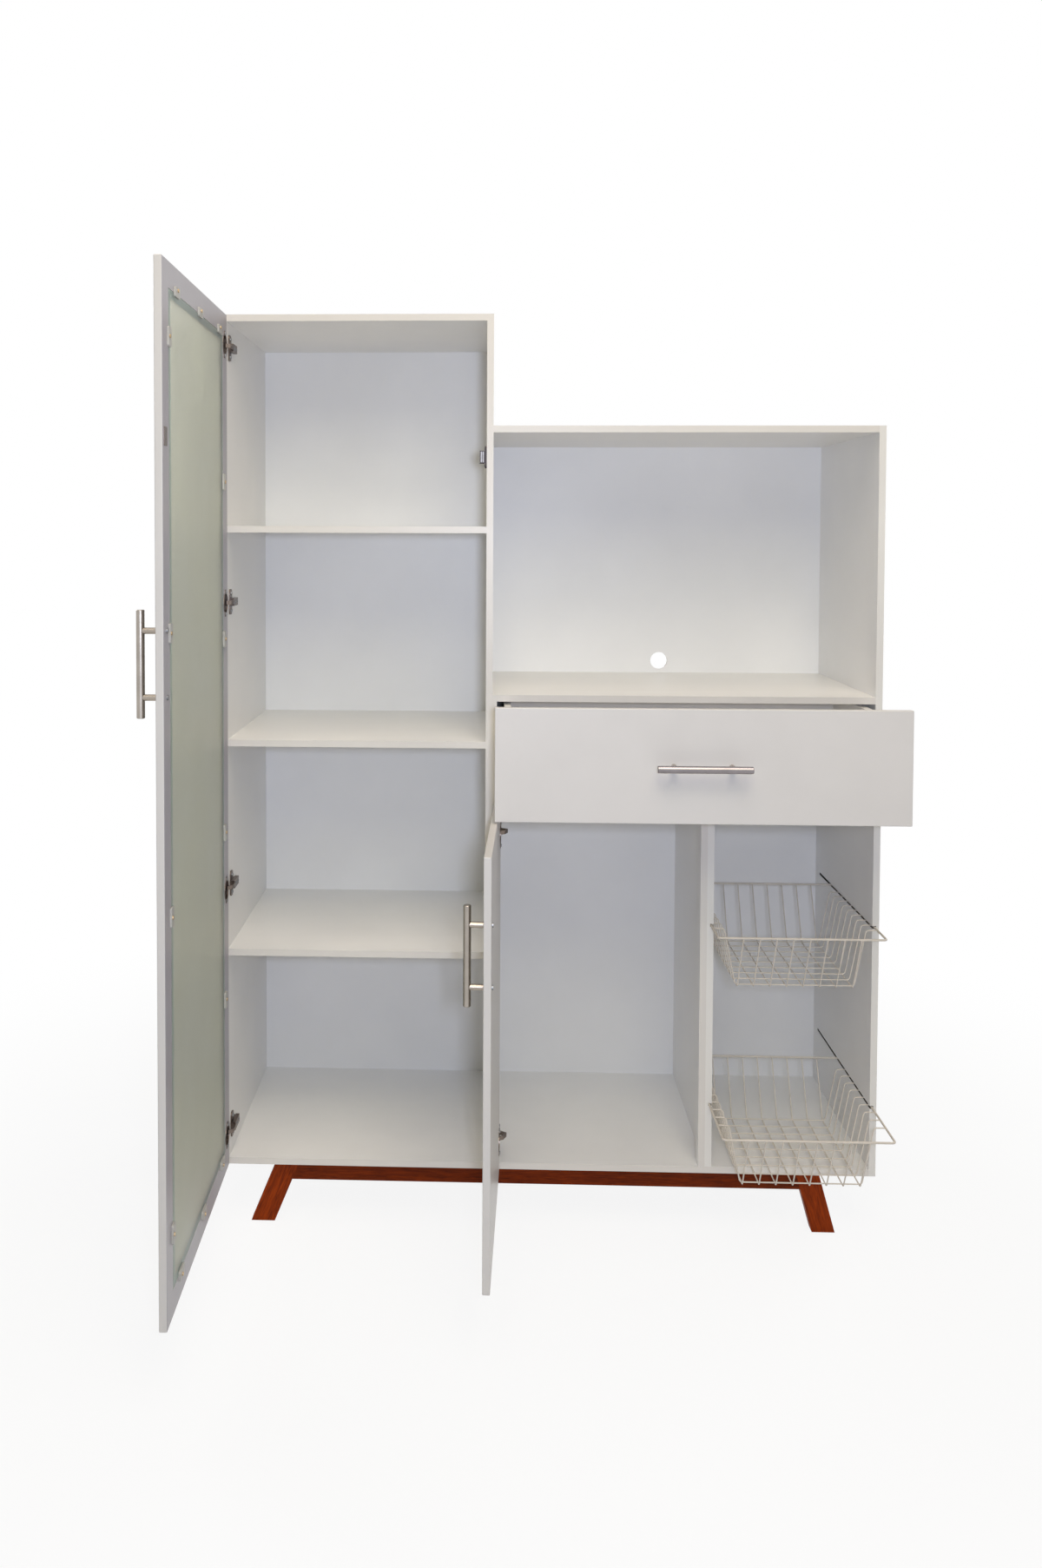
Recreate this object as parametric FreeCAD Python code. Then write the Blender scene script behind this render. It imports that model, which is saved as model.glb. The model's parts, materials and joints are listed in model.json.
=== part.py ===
"""Free-standing kitchen cabinet: a tall glass-door column beside a lower bay, on a splayed timber stand.

The bay holds an open niche, a drawer, a small cupboard and two wire pull-out baskets. Everything is
modelled shut, in carcass coordinates: X from the left outer face, Y from the front edges towards the
back, Z from the floor. The doors, the drawer and the baskets are then opened to the pose in which the
cabinet stands, and the whole is moved so that its origin is the middle of its footprint.
"""

import FreeCAD
import Part
import math
import os

from FreeCAD import Vector

# Carcass boards
CABINET_WIDTH = 1184.0
CABINET_DEPTH = 392.0
BOARD = 12.0
BACK = 4.0
COLUMN_SHARE = 0.4155
CUPBOARD_SHARE = 0.3336
BATTEN_DEPTH = 30.0
RUNNER_PACKER = 8.0

# Heights above the underside of the base
COLUMN_HEIGHT = 1546.0
BAY_HEIGHT = 1348.0
LOWER_SHELF_TOP = 398.0
MIDDLE_SHELF_TOP = 781.0
UPPER_SHELF_TOP = 1168.0
NICHE_FLOOR_TOP = 866.0
DECK_TOP = 678.0

# Cable hole in the back of the niche
CABLE_HOLE_RADIUS = 17.5
CABLE_HOLE_RISE = 25.0
CABLE_HOLE_FROM_PARTITION = 349.0

# Timber stand
LEG_HEIGHT = 117.0
LEG_WIDTH = 40.0
LEG_THICKNESS = 22.0
LEFT_LEG_SPLAY = 22.5
RIGHT_LEG_SPLAY = 15.5
LEG_TOP_INSET = 97.3
RAIL_HEIGHT = 38.0
STAND_RECESS = 22.0
STAND_SCREW_RADIUS = 2.5
STAND_SCREW_HEAD_RADIUS = 5.0
STAND_SCREW_HEAD_DEPTH = 2.5
STAND_SCREW_LENGTH = 18.0
STAND_SCREW_BITE = 8.0
STAND_SCREW_END_REACH = 320.0

# Fronts
DOOR_GAP = 2.5
FRONT_REVEAL = 1.0
FRONT_SPLIT = 3.0
BAY_FRONT_GAP = 3.5
EDGE_ROUND = 1.5
TALL_DOOR_SETBACK = 4.0
SMALL_DOOR_LAP = 8.5
DRAWER_FRONT_DROP = 4.0

# Glazing of the tall door
STILE_WIDTH = 52.0
REBATE_WIDTH = 13.0
GLASS_THICKNESS = 4.0
GLASS_GAP = 1.0
CLIP_LENGTH = 29.0
CLIP_WIDTH = 15.0
CLIP_THICKNESS = 3.2
CLIP_OVERLAP = 6.0
CLIP_CORNER = 3.0
CLIP_SCREW_RADIUS = 1.5
CLIP_SCREW_HEAD_RADIUS = 2.8
CLIP_SCREW_HEAD_HEIGHT = 1.4
CLIP_SCREW_LENGTH = 9.0
FREE_STILE_CLIP_HEIGHTS = (127.0, 596.0, 1010.0, 1436.0)
HINGE_STILE_CLIP_HEIGHTS = (319.0, 621.0, 967.0, 1245.0)
RAIL_CLIP_SHARES = (0.148, 0.477, 0.819)

# Concealed hinges
TALL_HINGE_HEIGHTS = (64.0, 513.0, 1030.0, 1489.0)
SMALL_HINGE_HEIGHTS = (61.0, 619.0)
CUP_RADIUS = 17.5
CUP_WALL = 0.8
CUP_EDGE = 2.4
CUP_BELOW_PIN = 3.0
CUP_FIT = 0.1
CUP_FLANGE = 1.0
CUP_LIP = 0.4
CUP_EAR_WIDTH = 14.0
CUP_EAR_LENGTH = 48.0
CUP_EAR_CORNER = 4.5
CUP_CHEEK = 6.0
CUP_CHEEK_PLAY = 1.5
PIN_RADIUS = 1.2
PIN_PLAY = 0.05
KNUCKLE_RADIUS = 2.2
ARM_THICKNESS = 2.2
ARM_WIDTH = 7.0
TALL_ARM_RISE = 8.5
SMALL_ARM_RISE = 15.0
ARM_DIP_REACH = 6.0
ARM_DIP = 0.6
ARM_NECK_REACH = 13.0
ARM_NECK_RISE = 3.0
TALL_ARM_BEND_REACH = 14.5
SMALL_ARM_BEND_REACH = 18.2
ARM_BEND_RISE = 14.5
ARM_FLANGE_HEIGHT = 4.6
ARM_FLANGE_THICKNESS = 1.2
CHANNEL_WIDTH = 14.0
CHANNEL_START = 12.0
CHANNEL_END = 48.0
PLATE_THICKNESS = 2.2
PLATE_LENGTH = 46.0
PLATE_WIDTH = 18.0
PLATE_SETBACK = 23.0
PLATE_CORNER = 6.0
PLATE_PLAY = 0.3

# Bar handles
HANDLE_LENGTH = 156.0
HANDLE_RADIUS = 6.0
HANDLE_EDGE = 0.8
HANDLE_STANDOFF = 26.0
POST_SPACING = 96.0
POST_RADIUS = 4.75
HANDLE_SCREW_RADIUS = 2.0
HANDLE_SCREW_PLAY = 0.2
HANDLE_SCREW_BITE = 9.0
HANDLE_SCREW_HEAD_RADIUS = 4.0
HANDLE_SCREW_HEAD_HEIGHT = 2.2
TALL_HANDLE_INSET = 20.0
TALL_HANDLE_HEIGHT = 967.0
SMALL_HANDLE_INSET = 25.0
SMALL_HANDLE_HEIGHT = 513.0

# Magnetic catch of the tall door
CATCH_HEIGHT = 1292.0
CATCH_BASE_LENGTH = 39.0
CATCH_BASE_THICKNESS = 3.5
CATCH_BODY_LENGTH = 22.6
CATCH_BODY_THICKNESS = 9.0
CATCH_DEPTH = 16.0
CATCH_SETBACK = 0.0
POLE_THICKNESS = 2.3
POLE_WALL = 1.7
STRIKE_LENGTH = 27.0
STRIKE_WIDTH = 16.0
STRIKE_THICKNESS = 1.2
STRIKE_CORNER = 2.0
STRIKE_GAP = 0.3

# Drawer and its roller runners
DRAWER_REAR_ROOM = 40.5
DRAWER_HEADROOM = 6.0
DRAWER_BOTTOM = 4.0
DRAWER_GROOVE = 5.0
DRAWER_GROOVE_RISE = 8.0
RUNNER_GAP = 13.0
RUNNER_STEEL = 1.2
RUNNER_LIFT = 2.0
RUNNER_SETBACK = 3.0
RUNNER_SHORTFALL = 4.5
RUNNER_TRACK_WIDTH = 10.5
RUNNER_LIP = 1.4
RUNNER_FLANGE_STOP = 3.0
RUNNER_FLANGE_RISE = 12.0
RUNNER_HANG = 5.0
ROLLER_RADIUS = 10.0
ROLLER_WIDTH = 7.0
ROLLER_SIDE_PLAY = 0.5
ROLLER_INSET = 12.0
AXLE_RADIUS = 2.5
AXLE_PLAY = 0.05
AXLE_END = 0.3
RUN_CLEARANCE = 0.3

# Wire baskets
RIM_RADIUS = 1.9
RIM_SETBACK = 6.0
RIM_REAR_ROOM = 37.0
RIM_BITE = 4.2
RIM_CORNER = 6.0
GROOVE_DEPTH = 6.5
GROOVE_HEADROOM = 0.9
WIRE_RADIUS = 1.15
WIRE_BEND = 6.0
WELD_GAP = 0.05
BASKET_DEPTH = 100.0
LEDGE = 18.0
SIDE_SLOPE = 20.0
END_SLOPE = 50.0
CROSS_WIRE_COUNT = 9
LONG_WIRE_COUNT = 8
LONG_WIRE_EDGE = 3.5
UPPER_RIM_HEIGHT = 453.0
LOWER_RIM_HEIGHT = 126.0

# Pose in which the cabinet stands
TALL_DOOR_OPEN = 88.7
SMALL_DOOR_OPEN = 92.6
DRAWER_OUT = 152.0
UPPER_BASKET_OUT = 76.0
LOWER_BASKET_OUT = 138.0

# Places worked out from the driving sizes
DEPTH_CLEAR = CABINET_DEPTH - BACK
CLEAR_WIDTH = CABINET_WIDTH - 5 * BOARD
PARTITION_LEFT = BOARD + COLUMN_SHARE * CLEAR_WIDTH
PARTITION_RIGHT = PARTITION_LEFT + BOARD
BATTEN_LEFT = PARTITION_RIGHT + CUPBOARD_SHARE * CLEAR_WIDTH
DIVIDER_LEFT = BATTEN_LEFT + BOARD
DIVIDER_RIGHT = DIVIDER_LEFT + BOARD
BAY_RIGHT = CABINET_WIDTH - BOARD
BASE_UNDER = LEG_HEIGHT
BASE_TOP = BASE_UNDER + BOARD
COLUMN_TOP = BASE_UNDER + COLUMN_HEIGHT
BAY_TOP = BASE_UNDER + BAY_HEIGHT
NICHE_FLOOR = BASE_UNDER + NICHE_FLOOR_TOP
NICHE_FLOOR_UNDER = NICHE_FLOOR - BOARD
DECK = BASE_UNDER + DECK_TOP
DECK_UNDER = DECK - BOARD
DOOR_INNER = -DOOR_GAP
DOOR_OUTER = DOOR_INNER - BOARD
PIN_Y = DOOR_INNER - BOARD / 2
TALL_LEFT = FRONT_REVEAL
TALL_RIGHT = PARTITION_RIGHT - TALL_DOOR_SETBACK
TALL_BOTTOM = BASE_UNDER + FRONT_REVEAL
TALL_TOP = COLUMN_TOP - FRONT_REVEAL
TALL_PIN_X = TALL_LEFT + BOARD / 2
BAY_FRONT_LEFT = PARTITION_RIGHT + BAY_FRONT_GAP
SMALL_RIGHT = BATTEN_LEFT + SMALL_DOOR_LAP
SMALL_PIN_X = BAY_FRONT_LEFT + BOARD / 2
DRAWER_FRONT_BOTTOM = DECK - DRAWER_FRONT_DROP
SMALL_BOTTOM = BASE_UNDER + FRONT_REVEAL
SMALL_TOP = DRAWER_FRONT_BOTTOM - FRONT_SPLIT
CUP_DEPTH = BOARD / 2 + CUP_BELOW_PIN
CUP_CENTRE = CUP_EDGE + CUP_RADIUS
PIN_LENGTH = 2 * math.sqrt(CUP_RADIUS ** 2 - (CUP_CENTRE - BOARD / 2 + PIN_RADIUS) ** 2)
STAND_TOP = BASE_UNDER
RAIL_LOW = STAND_TOP - RAIL_HEIGHT
STAND_FRONT = STAND_RECESS
STAND_REAR = DEPTH_CLEAR - STAND_RECESS - LEG_THICKNESS
TRACK_TOP = DECK + RUNNER_LIFT + RUNNER_STEEL
ROLLER_Z = TRACK_TOP + RUN_CLEARANCE + ROLLER_RADIUS
RUNNER_FLANGE = ROLLER_Z + ROLLER_RADIUS + RUN_CLEARANCE
DRAWER_REAR = DEPTH_CLEAR - DRAWER_REAR_ROOM
RUNNER_REAR = DRAWER_REAR - RUNNER_SHORTFALL
FRONT_ROLLER_Y = RUNNER_SETBACK + ROLLER_INSET
REAR_ROLLER_Y = RUNNER_REAR - ROLLER_INSET
PACKER_RIGHT = PARTITION_RIGHT + RUNNER_PACKER
DRAWER_LEFT = PACKER_RIGHT + RUNNER_GAP
DRAWER_RIGHT = BAY_RIGHT - RUNNER_GAP
DRAWER_LOW = ROLLER_Z - RUNNER_HANG
DRAWER_HIGH = NICHE_FLOOR_UNDER - DRAWER_HEADROOM
RIM_LEFT = DIVIDER_RIGHT - RIM_BITE
RIM_RIGHT = BAY_RIGHT + RIM_BITE
RIM_FRONT = RIM_SETBACK
RIM_REAR = DEPTH_CLEAR - RIM_REAR_ROOM


def block(x0, x1, y0, y1, z0, z1):
    """Box between two corners."""
    return Part.makeBox(x1 - x0, y1 - y0, z1 - z0, Vector(x0, y0, z0))


def rod(start, end, radius):
    """Round bar from one point to another."""
    run = end.sub(start)
    return Part.makeCylinder(radius, run.Length, start, run)


def prism(outline, depth):
    """Flat outline of points, pushed along a vector."""
    corners = outline + outline[:1]
    return Part.Face(Part.makePolygon(corners)).extrude(depth)


def join(solids):
    """One clean solid out of several that meet."""
    return solids[0].fuse(solids[1:]).removeSplitter()


def fillet_along(solid, direction, radius):
    """Rounds the straight edges of a solid that run along a direction."""
    edges = []
    for edge in solid.Edges:
        run = edge.Vertexes[-1].Point.sub(edge.Vertexes[0].Point)
        if run.Length > 0 and run.cross(direction).Length < 1e-6 * run.Length:
            edges.append(edge)
    return solid.makeFillet(radius, edges)


def eased(solid, radius):
    """Rounds every edge of a plain board."""
    return solid.makeFillet(radius, solid.Edges)


def bent_path(points, bend):
    """Straight runs through points, joined by tangent arcs of one radius."""
    edges = []
    start = points[0]
    for before, corner, after in zip(points, points[1:], points[2:]):
        arriving = corner.sub(before).normalize()
        leaving = after.sub(corner).normalize()
        half_turn = arriving.getAngle(leaving) / 2
        setback = bend * math.tan(half_turn)
        inward = leaving.sub(arriving).normalize()
        centre = corner + inward * (bend / math.cos(half_turn))
        arc_start = corner - arriving * setback
        arc_end = corner + leaving * setback
        edges.append(Part.LineSegment(start, arc_start).toShape())
        edges.append(Part.Arc(arc_start, centre - inward * bend, arc_end).toShape())
        start = arc_end
    edges.append(Part.LineSegment(start, points[-1]).toShape())
    return Part.Wire(edges)


def bent_wire(points, bend, radius):
    """Round wire bent along points."""
    heading = points[1].sub(points[0])
    section = Part.Wire(Part.Circle(points[0], heading, radius).toShape())
    return bent_path(points, bend).makePipeShell([section], True, False)


def screw(seat, out, head_radius, head_height, radius, length):
    """Cylinder-headed screw whose head stands on a seat."""
    head = rod(seat, seat + out * head_height, head_radius)
    return head.fuse(rod(seat, seat - out * length, radius)).removeSplitter()


# Carcass


def side_panels():
    """Outer sides; the right one carries the basket grooves."""
    left = block(0, BOARD, 0, DEPTH_CLEAR, BASE_UNDER, COLUMN_TOP)
    right = block(BAY_RIGHT, CABINET_WIDTH, 0, DEPTH_CLEAR, BASE_UNDER, BAY_TOP)
    partition = block(PARTITION_LEFT, PARTITION_RIGHT, 0, DEPTH_CLEAR, BASE_TOP, COLUMN_TOP)
    return {
        "left_side_panel": left,
        "centre_partition": partition,
        "right_side_panel": right.cut(basket_grooves(BAY_RIGHT, BAY_RIGHT + GROOVE_DEPTH)),
    }


def basket_grooves(x0, x1):
    """Both grooves in one wall, open at the front, in which the basket rims run."""
    cuts = []
    for rim_height in (UPPER_RIM_HEIGHT, LOWER_RIM_HEIGHT):
        rim = BASE_UNDER + rim_height
        low = rim - RIM_RADIUS - RUN_CLEARANCE
        high = rim + RIM_RADIUS + GROOVE_HEADROOM
        cuts.append(block(x0, x1, 0, RIM_REAR + RIM_SETBACK, low, high))
    return Part.makeCompound(cuts)


def level_boards():
    """Base, tops, shelves, niche floor and the deck under the drawer."""
    def column_board(top):
        return block(BOARD, PARTITION_LEFT, 0, DEPTH_CLEAR, top - BOARD, top)

    def bay_board(top):
        return block(PARTITION_RIGHT, BAY_RIGHT, 0, DEPTH_CLEAR, top - BOARD, top)

    base = block(BOARD, BAY_RIGHT, 0, DEPTH_CLEAR, BASE_UNDER, BASE_TOP)
    return {
        "base_panel": base.cut(rail_screws(STAND_FRONT) + rail_screws(STAND_REAR)),
        "column_top_panel": column_board(COLUMN_TOP),
        "upper_shelf": column_board(BASE_UNDER + UPPER_SHELF_TOP),
        "middle_shelf": column_board(BASE_UNDER + MIDDLE_SHELF_TOP),
        "lower_shelf": column_board(BASE_UNDER + LOWER_SHELF_TOP),
        "bay_top_panel": bay_board(BAY_TOP),
        "niche_floor": bay_board(NICHE_FLOOR),
        "drawer_deck": bay_board(DECK),
    }


def divider():
    """Upright between the cupboard and the baskets."""
    board = block(DIVIDER_LEFT, DIVIDER_RIGHT, 0, DEPTH_CLEAR, BASE_TOP, DECK_UNDER)
    return {"bay_divider": board.cut(basket_grooves(DIVIDER_RIGHT - GROOVE_DEPTH, DIVIDER_RIGHT))}


def battens():
    """Batten that thickens the divider's front, and the packer behind the left drawer runner."""
    front = block(BATTEN_LEFT, DIVIDER_LEFT, 0, BATTEN_DEPTH, BASE_TOP, DECK_UNDER)
    packer = block(PARTITION_RIGHT, PACKER_RIGHT, 0, DEPTH_CLEAR, DECK, NICHE_FLOOR_UNDER)
    return {"battens": Part.makeCompound([front, packer])}


def back_panels():
    """Thin backs on the rear edges, meeting on the middle of the partition."""
    seam = (PARTITION_LEFT + PARTITION_RIGHT) / 2
    rear = CABINET_DEPTH
    column = block(0, seam, DEPTH_CLEAR, rear, BASE_UNDER, COLUMN_TOP)
    bay = block(seam, CABINET_WIDTH, DEPTH_CLEAR, rear, BASE_UNDER, BAY_TOP)
    hole_x = PARTITION_RIGHT + CABLE_HOLE_FROM_PARTITION
    hole_z = NICHE_FLOOR + CABLE_HOLE_RISE
    hole = rod(Vector(hole_x, DEPTH_CLEAR, hole_z), Vector(hole_x, rear, hole_z), CABLE_HOLE_RADIUS)
    return {"column_back_panel": column, "bay_back_panel": bay.cut(hole)}


# Timber stand


def leg_splay(mirrored):
    """Lean of a leg from upright, in radians."""
    return math.radians(RIGHT_LEG_SPLAY if mirrored else LEFT_LEG_SPLAY)


def leg_width(mirrored):
    """Level width of a leg."""
    return LEG_WIDTH / math.cos(leg_splay(mirrored))


def leg_place(mirrored, level, y, inwards=0.0):
    """Point on a leg's outer edge at a height, or further in."""
    reach = LEG_TOP_INSET - (STAND_TOP - level) * math.tan(leg_splay(mirrored)) + inwards
    return Vector(CABINET_WIDTH - reach if mirrored else reach, y, level)


def leg_outline(mirrored, y):
    """Slanted leg seen from the front, foot first."""
    width = leg_width(mirrored)
    return [
        leg_place(mirrored, 0, y),
        leg_place(mirrored, 0, y, width),
        leg_place(mirrored, STAND_TOP, y, width),
        leg_place(mirrored, STAND_TOP, y),
    ]


def stand_frame(front_y, face_forward):
    """Rail with a leg half-lapped to each end; the legs' laps face outwards and the screws inwards."""
    half = LEG_THICKNESS / 2
    show_y = front_y if face_forward else front_y + half
    hide_y = front_y + half if face_forward else front_y
    rail = prism([
        leg_place(False, RAIL_LOW, front_y),
        leg_place(True, RAIL_LOW, front_y),
        leg_place(True, STAND_TOP, front_y),
        leg_place(False, STAND_TOP, front_y),
    ], Vector(0, LEG_THICKNESS, 0))
    rail = rail.cut(rail_pockets(front_y))
    lap = block(0, CABINET_WIDTH, hide_y, hide_y + half, RAIL_LOW, STAND_TOP)
    out = Vector(0, 1 if face_forward else -1, 0)
    face_y = front_y + LEG_THICKNESS if face_forward else front_y
    legs = []
    screws = rail_screws(front_y)
    for mirrored in (False, True):
        whole = prism(leg_outline(mirrored, front_y), Vector(0, LEG_THICKNESS, 0))
        rail = rail.cut(prism(leg_outline(mirrored, show_y), Vector(0, half, 0)))
        fixing = stand_screw(lap_middle(mirrored, face_y), out)
        legs.append(whole.cut(lap).cut(fixing))
        rail = rail.cut(fixing)
        screws.append(fixing)
    return rail, legs, screws


def lap_middle(mirrored, y):
    """Middle of a half-lap."""
    return leg_place(mirrored, (RAIL_LOW + STAND_TOP) / 2, y, leg_width(mirrored) / 2)


def stand_screw(seat, out):
    """Countersunk screw, flush with its seat."""
    head = Part.makeCone(STAND_SCREW_HEAD_RADIUS, STAND_SCREW_RADIUS, STAND_SCREW_HEAD_DEPTH, seat, out * -1)
    neck = seat - out * STAND_SCREW_HEAD_DEPTH
    return head.fuse(rod(neck, seat - out * STAND_SCREW_LENGTH, STAND_SCREW_RADIUS))


def rail_screw_seats(front_y):
    """Heads of the screws that go up through a rail into the base."""
    level = STAND_TOP + STAND_SCREW_BITE - STAND_SCREW_LENGTH
    middle = CABINET_WIDTH / 2
    seats = []
    for x in (middle - STAND_SCREW_END_REACH, middle, middle + STAND_SCREW_END_REACH):
        seats.append(Vector(x, front_y + LEG_THICKNESS / 2, level))
    return seats


def rail_screws(front_y):
    """Screws that hold one rail to the base."""
    return [stand_screw(seat, Vector(0, 0, -1)) for seat in rail_screw_seats(front_y)]


def rail_pockets(front_y):
    """Pockets in the rail's underside for those screws, with their holes."""
    pockets = rail_screws(front_y)
    for seat in rail_screw_seats(front_y):
        pockets.append(rod(Vector(seat.x, seat.y, RAIL_LOW), seat, STAND_SCREW_HEAD_RADIUS))
    return pockets


def stand():
    """Front and rear leg frames under the base."""
    front_rail, front_legs, front_screws = stand_frame(STAND_FRONT, True)
    rear_rail, rear_legs, rear_screws = stand_frame(STAND_REAR, False)
    return {
        "front_leg_rail": front_rail,
        "front_left_leg": front_legs[0],
        "front_right_leg": front_legs[1],
        "rear_leg_rail": rear_rail,
        "rear_left_leg": rear_legs[0],
        "rear_right_leg": rear_legs[1],
        "stand_screws": Part.makeCompound(front_screws + rear_screws),
    }


# Concealed hinges


def hinge_plate(face, roof, z):
    """Winged mounting plate with the ridge that the arm's roof sits on."""
    wing = block(
        face, face + PLATE_THICKNESS, PLATE_SETBACK - PLATE_WIDTH / 2, PLATE_SETBACK + PLATE_WIDTH / 2,
        z - PLATE_LENGTH / 2, z + PLATE_LENGTH / 2,
    )
    wing = fillet_along(wing, Vector(1, 0, 0), PLATE_CORNER)
    half_ridge = CHANNEL_WIDTH / 2 - ARM_FLANGE_THICKNESS - PLATE_PLAY
    ridge = block(
        face, roof - ARM_THICKNESS / 2, CHANNEL_START, CHANNEL_END, z - half_ridge, z + half_ridge,
    )
    return join([wing, ridge])


def hinge_arm(pin_x, bend_reach, roof, z):
    """Gooseneck strip from the knuckle round the board's front edge, with a channel over the plate."""
    low = z - ARM_WIDTH / 2
    lift = Vector(0, 0, ARM_WIDTH)
    path = Part.makePolygon([
        Vector(pin_x, PIN_Y, low),
        Vector(pin_x + ARM_DIP_REACH, PIN_Y - ARM_DIP, low),
        Vector(pin_x + ARM_NECK_REACH, PIN_Y + ARM_NECK_RISE, low),
        Vector(pin_x + bend_reach, PIN_Y + ARM_BEND_RISE, low),
        Vector(roof, CHANNEL_START + ARM_THICKNESS, low),
        Vector(roof, CHANNEL_END, low),
    ])
    outline = path.makeOffset2D(ARM_THICKNESS / 2, 0, False, False)
    strip = Part.Face(outline).extrude(lift)
    knuckle = Part.makeCylinder(KNUCKLE_RADIUS, ARM_WIDTH, Vector(pin_x, PIN_Y, low))
    roof_low = roof - ARM_THICKNESS / 2
    half = CHANNEL_WIDTH / 2
    pieces = [strip, knuckle]
    pieces.append(block(roof_low, roof_low + ARM_THICKNESS, CHANNEL_START, CHANNEL_END, z - half, z + half))
    for side in (z - half, z + half - ARM_FLANGE_THICKNESS):
        pieces.append(block(
            roof_low - ARM_FLANGE_HEIGHT, roof_low, CHANNEL_START, CHANNEL_END,
            side, side + ARM_FLANGE_THICKNESS,
        ))
    return join(pieces).cut(hinge_pin(pin_x, z))


def hinge_pin(pin_x, z):
    """Upright pin held in the arm's knuckle."""
    return Part.makeCylinder(PIN_RADIUS, PIN_LENGTH, Vector(pin_x, PIN_Y, z - PIN_LENGTH / 2))


def hinge_cup(door_edge, z):
    """Pressed cup with its flange, sunk in the door and turning on the pin."""
    centre = Vector(door_edge + CUP_CENTRE, DOOR_INNER, z)
    outwards = Vector(0, -1, 0)
    shell = Part.makeCylinder(CUP_RADIUS, CUP_DEPTH, centre, outwards)
    rim = Part.makeCylinder(CUP_RADIUS + CUP_LIP, CUP_FLANGE, centre, outwards * -1)
    ear = block(
        centre.x - CUP_EAR_WIDTH / 2, centre.x + CUP_EAR_WIDTH / 2, DOOR_INNER, DOOR_INNER + CUP_FLANGE,
        z - CUP_EAR_LENGTH / 2, z + CUP_EAR_LENGTH / 2,
    )
    ear = fillet_along(ear, Vector(0, 1, 0), CUP_EAR_CORNER)
    mouth = centre - outwards * CUP_FLANGE
    hollow = Part.makeCylinder(
        CUP_RADIUS - CUP_WALL, CUP_FLANGE + CUP_DEPTH - CUP_WALL, mouth, outwards,
    )
    pin_x = door_edge + BOARD / 2
    hollow = hollow.cut(cup_cheeks(pin_x, z))
    pin_hole = Part.makeCylinder(
        PIN_RADIUS + PIN_PLAY, 2 * CUP_RADIUS, Vector(pin_x, PIN_Y, z - CUP_RADIUS),
    )
    return join([shell, rim, ear]).cut(hollow).cut(pin_hole)


def cup_cheeks(pin_x, z):
    """Cheeks left in the cup above and below the arm, which hold the pin's ends."""
    gap = ARM_WIDTH / 2 + CUP_CHEEK_PLAY
    cheeks = []
    for low, high in ((z - CUP_RADIUS, z - gap), (z + gap, z + CUP_RADIUS)):
        cheeks.append(block(
            pin_x - CUP_CHEEK / 2, pin_x + CUP_CHEEK / 2, DOOR_INNER - CUP_DEPTH, DOOR_INNER, low, high,
        ))
    return Part.makeCompound(cheeks)


def cup_bore(door_edge, z):
    """Blind bore in a door for one cup."""
    centre = Vector(door_edge + CUP_CENTRE, DOOR_INNER, z)
    return Part.makeCylinder(CUP_RADIUS + CUP_FIT, CUP_DEPTH + CUP_FIT, centre, Vector(0, -1, 0))


def hinge_set(heights, face, rise, pin_x, bend_reach):
    """Plates, arms and pins of one door's hinges."""
    plates = []
    arms = []
    pins = []
    for height in heights:
        z = BASE_UNDER + height
        plates.append(hinge_plate(face, face + rise, z))
        arms.append(hinge_arm(pin_x, bend_reach, face + rise, z))
        pins.append(hinge_pin(pin_x, z))
    return plates, arms, pins


def carcass_hinge_parts():
    """Plates, arms and pins, which stay with the carcass."""
    plates, tall_arms, pins = hinge_set(
        TALL_HINGE_HEIGHTS, BOARD, TALL_ARM_RISE, TALL_PIN_X, TALL_ARM_BEND_REACH,
    )
    small_plates, small_arms, small_pins = hinge_set(
        SMALL_HINGE_HEIGHTS, PARTITION_RIGHT, SMALL_ARM_RISE, SMALL_PIN_X, SMALL_ARM_BEND_REACH,
    )
    return {
        "hinge_plates": Part.makeCompound(plates + small_plates),
        "tall_hinge_arms": Part.makeCompound(tall_arms),
        "small_hinge_arms": Part.makeCompound(small_arms),
        "hinge_pins": Part.makeCompound(pins + small_pins),
    }


# Bar handles


def handle(centre, along, out):
    """Bar, two posts and two screws on a front; also the holes the screws need."""
    axis = centre + out * HANDLE_STANDOFF
    half = along * (HANDLE_LENGTH / 2)
    bar = rod(axis - half, axis + half, HANDLE_RADIUS)
    bar = bar.makeChamfer(HANDLE_EDGE, [edge for edge in bar.Edges if edge.Closed])
    posts = []
    screws = []
    holes = []
    for side in (-1, 1):
        foot = centre + along * (side * POST_SPACING / 2)
        head_seat = foot - out * BOARD
        fixing = screw(
            head_seat, out * -1, HANDLE_SCREW_HEAD_RADIUS, HANDLE_SCREW_HEAD_HEIGHT,
            HANDLE_SCREW_RADIUS, BOARD + HANDLE_SCREW_BITE,
        )
        post = rod(foot, foot + out * HANDLE_STANDOFF, POST_RADIUS)
        posts.append(post.cut(rod(axis - half, axis + half, HANDLE_RADIUS)).cut(fixing))
        screws.append(fixing)
        holes.append(rod(head_seat, foot, HANDLE_SCREW_RADIUS + HANDLE_SCREW_PLAY))
    return {
        "bar": bar,
        "posts": Part.makeCompound(posts),
        "screws": Part.makeCompound(screws),
        "holes": Part.makeCompound(holes),
    }


# Tall door


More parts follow.
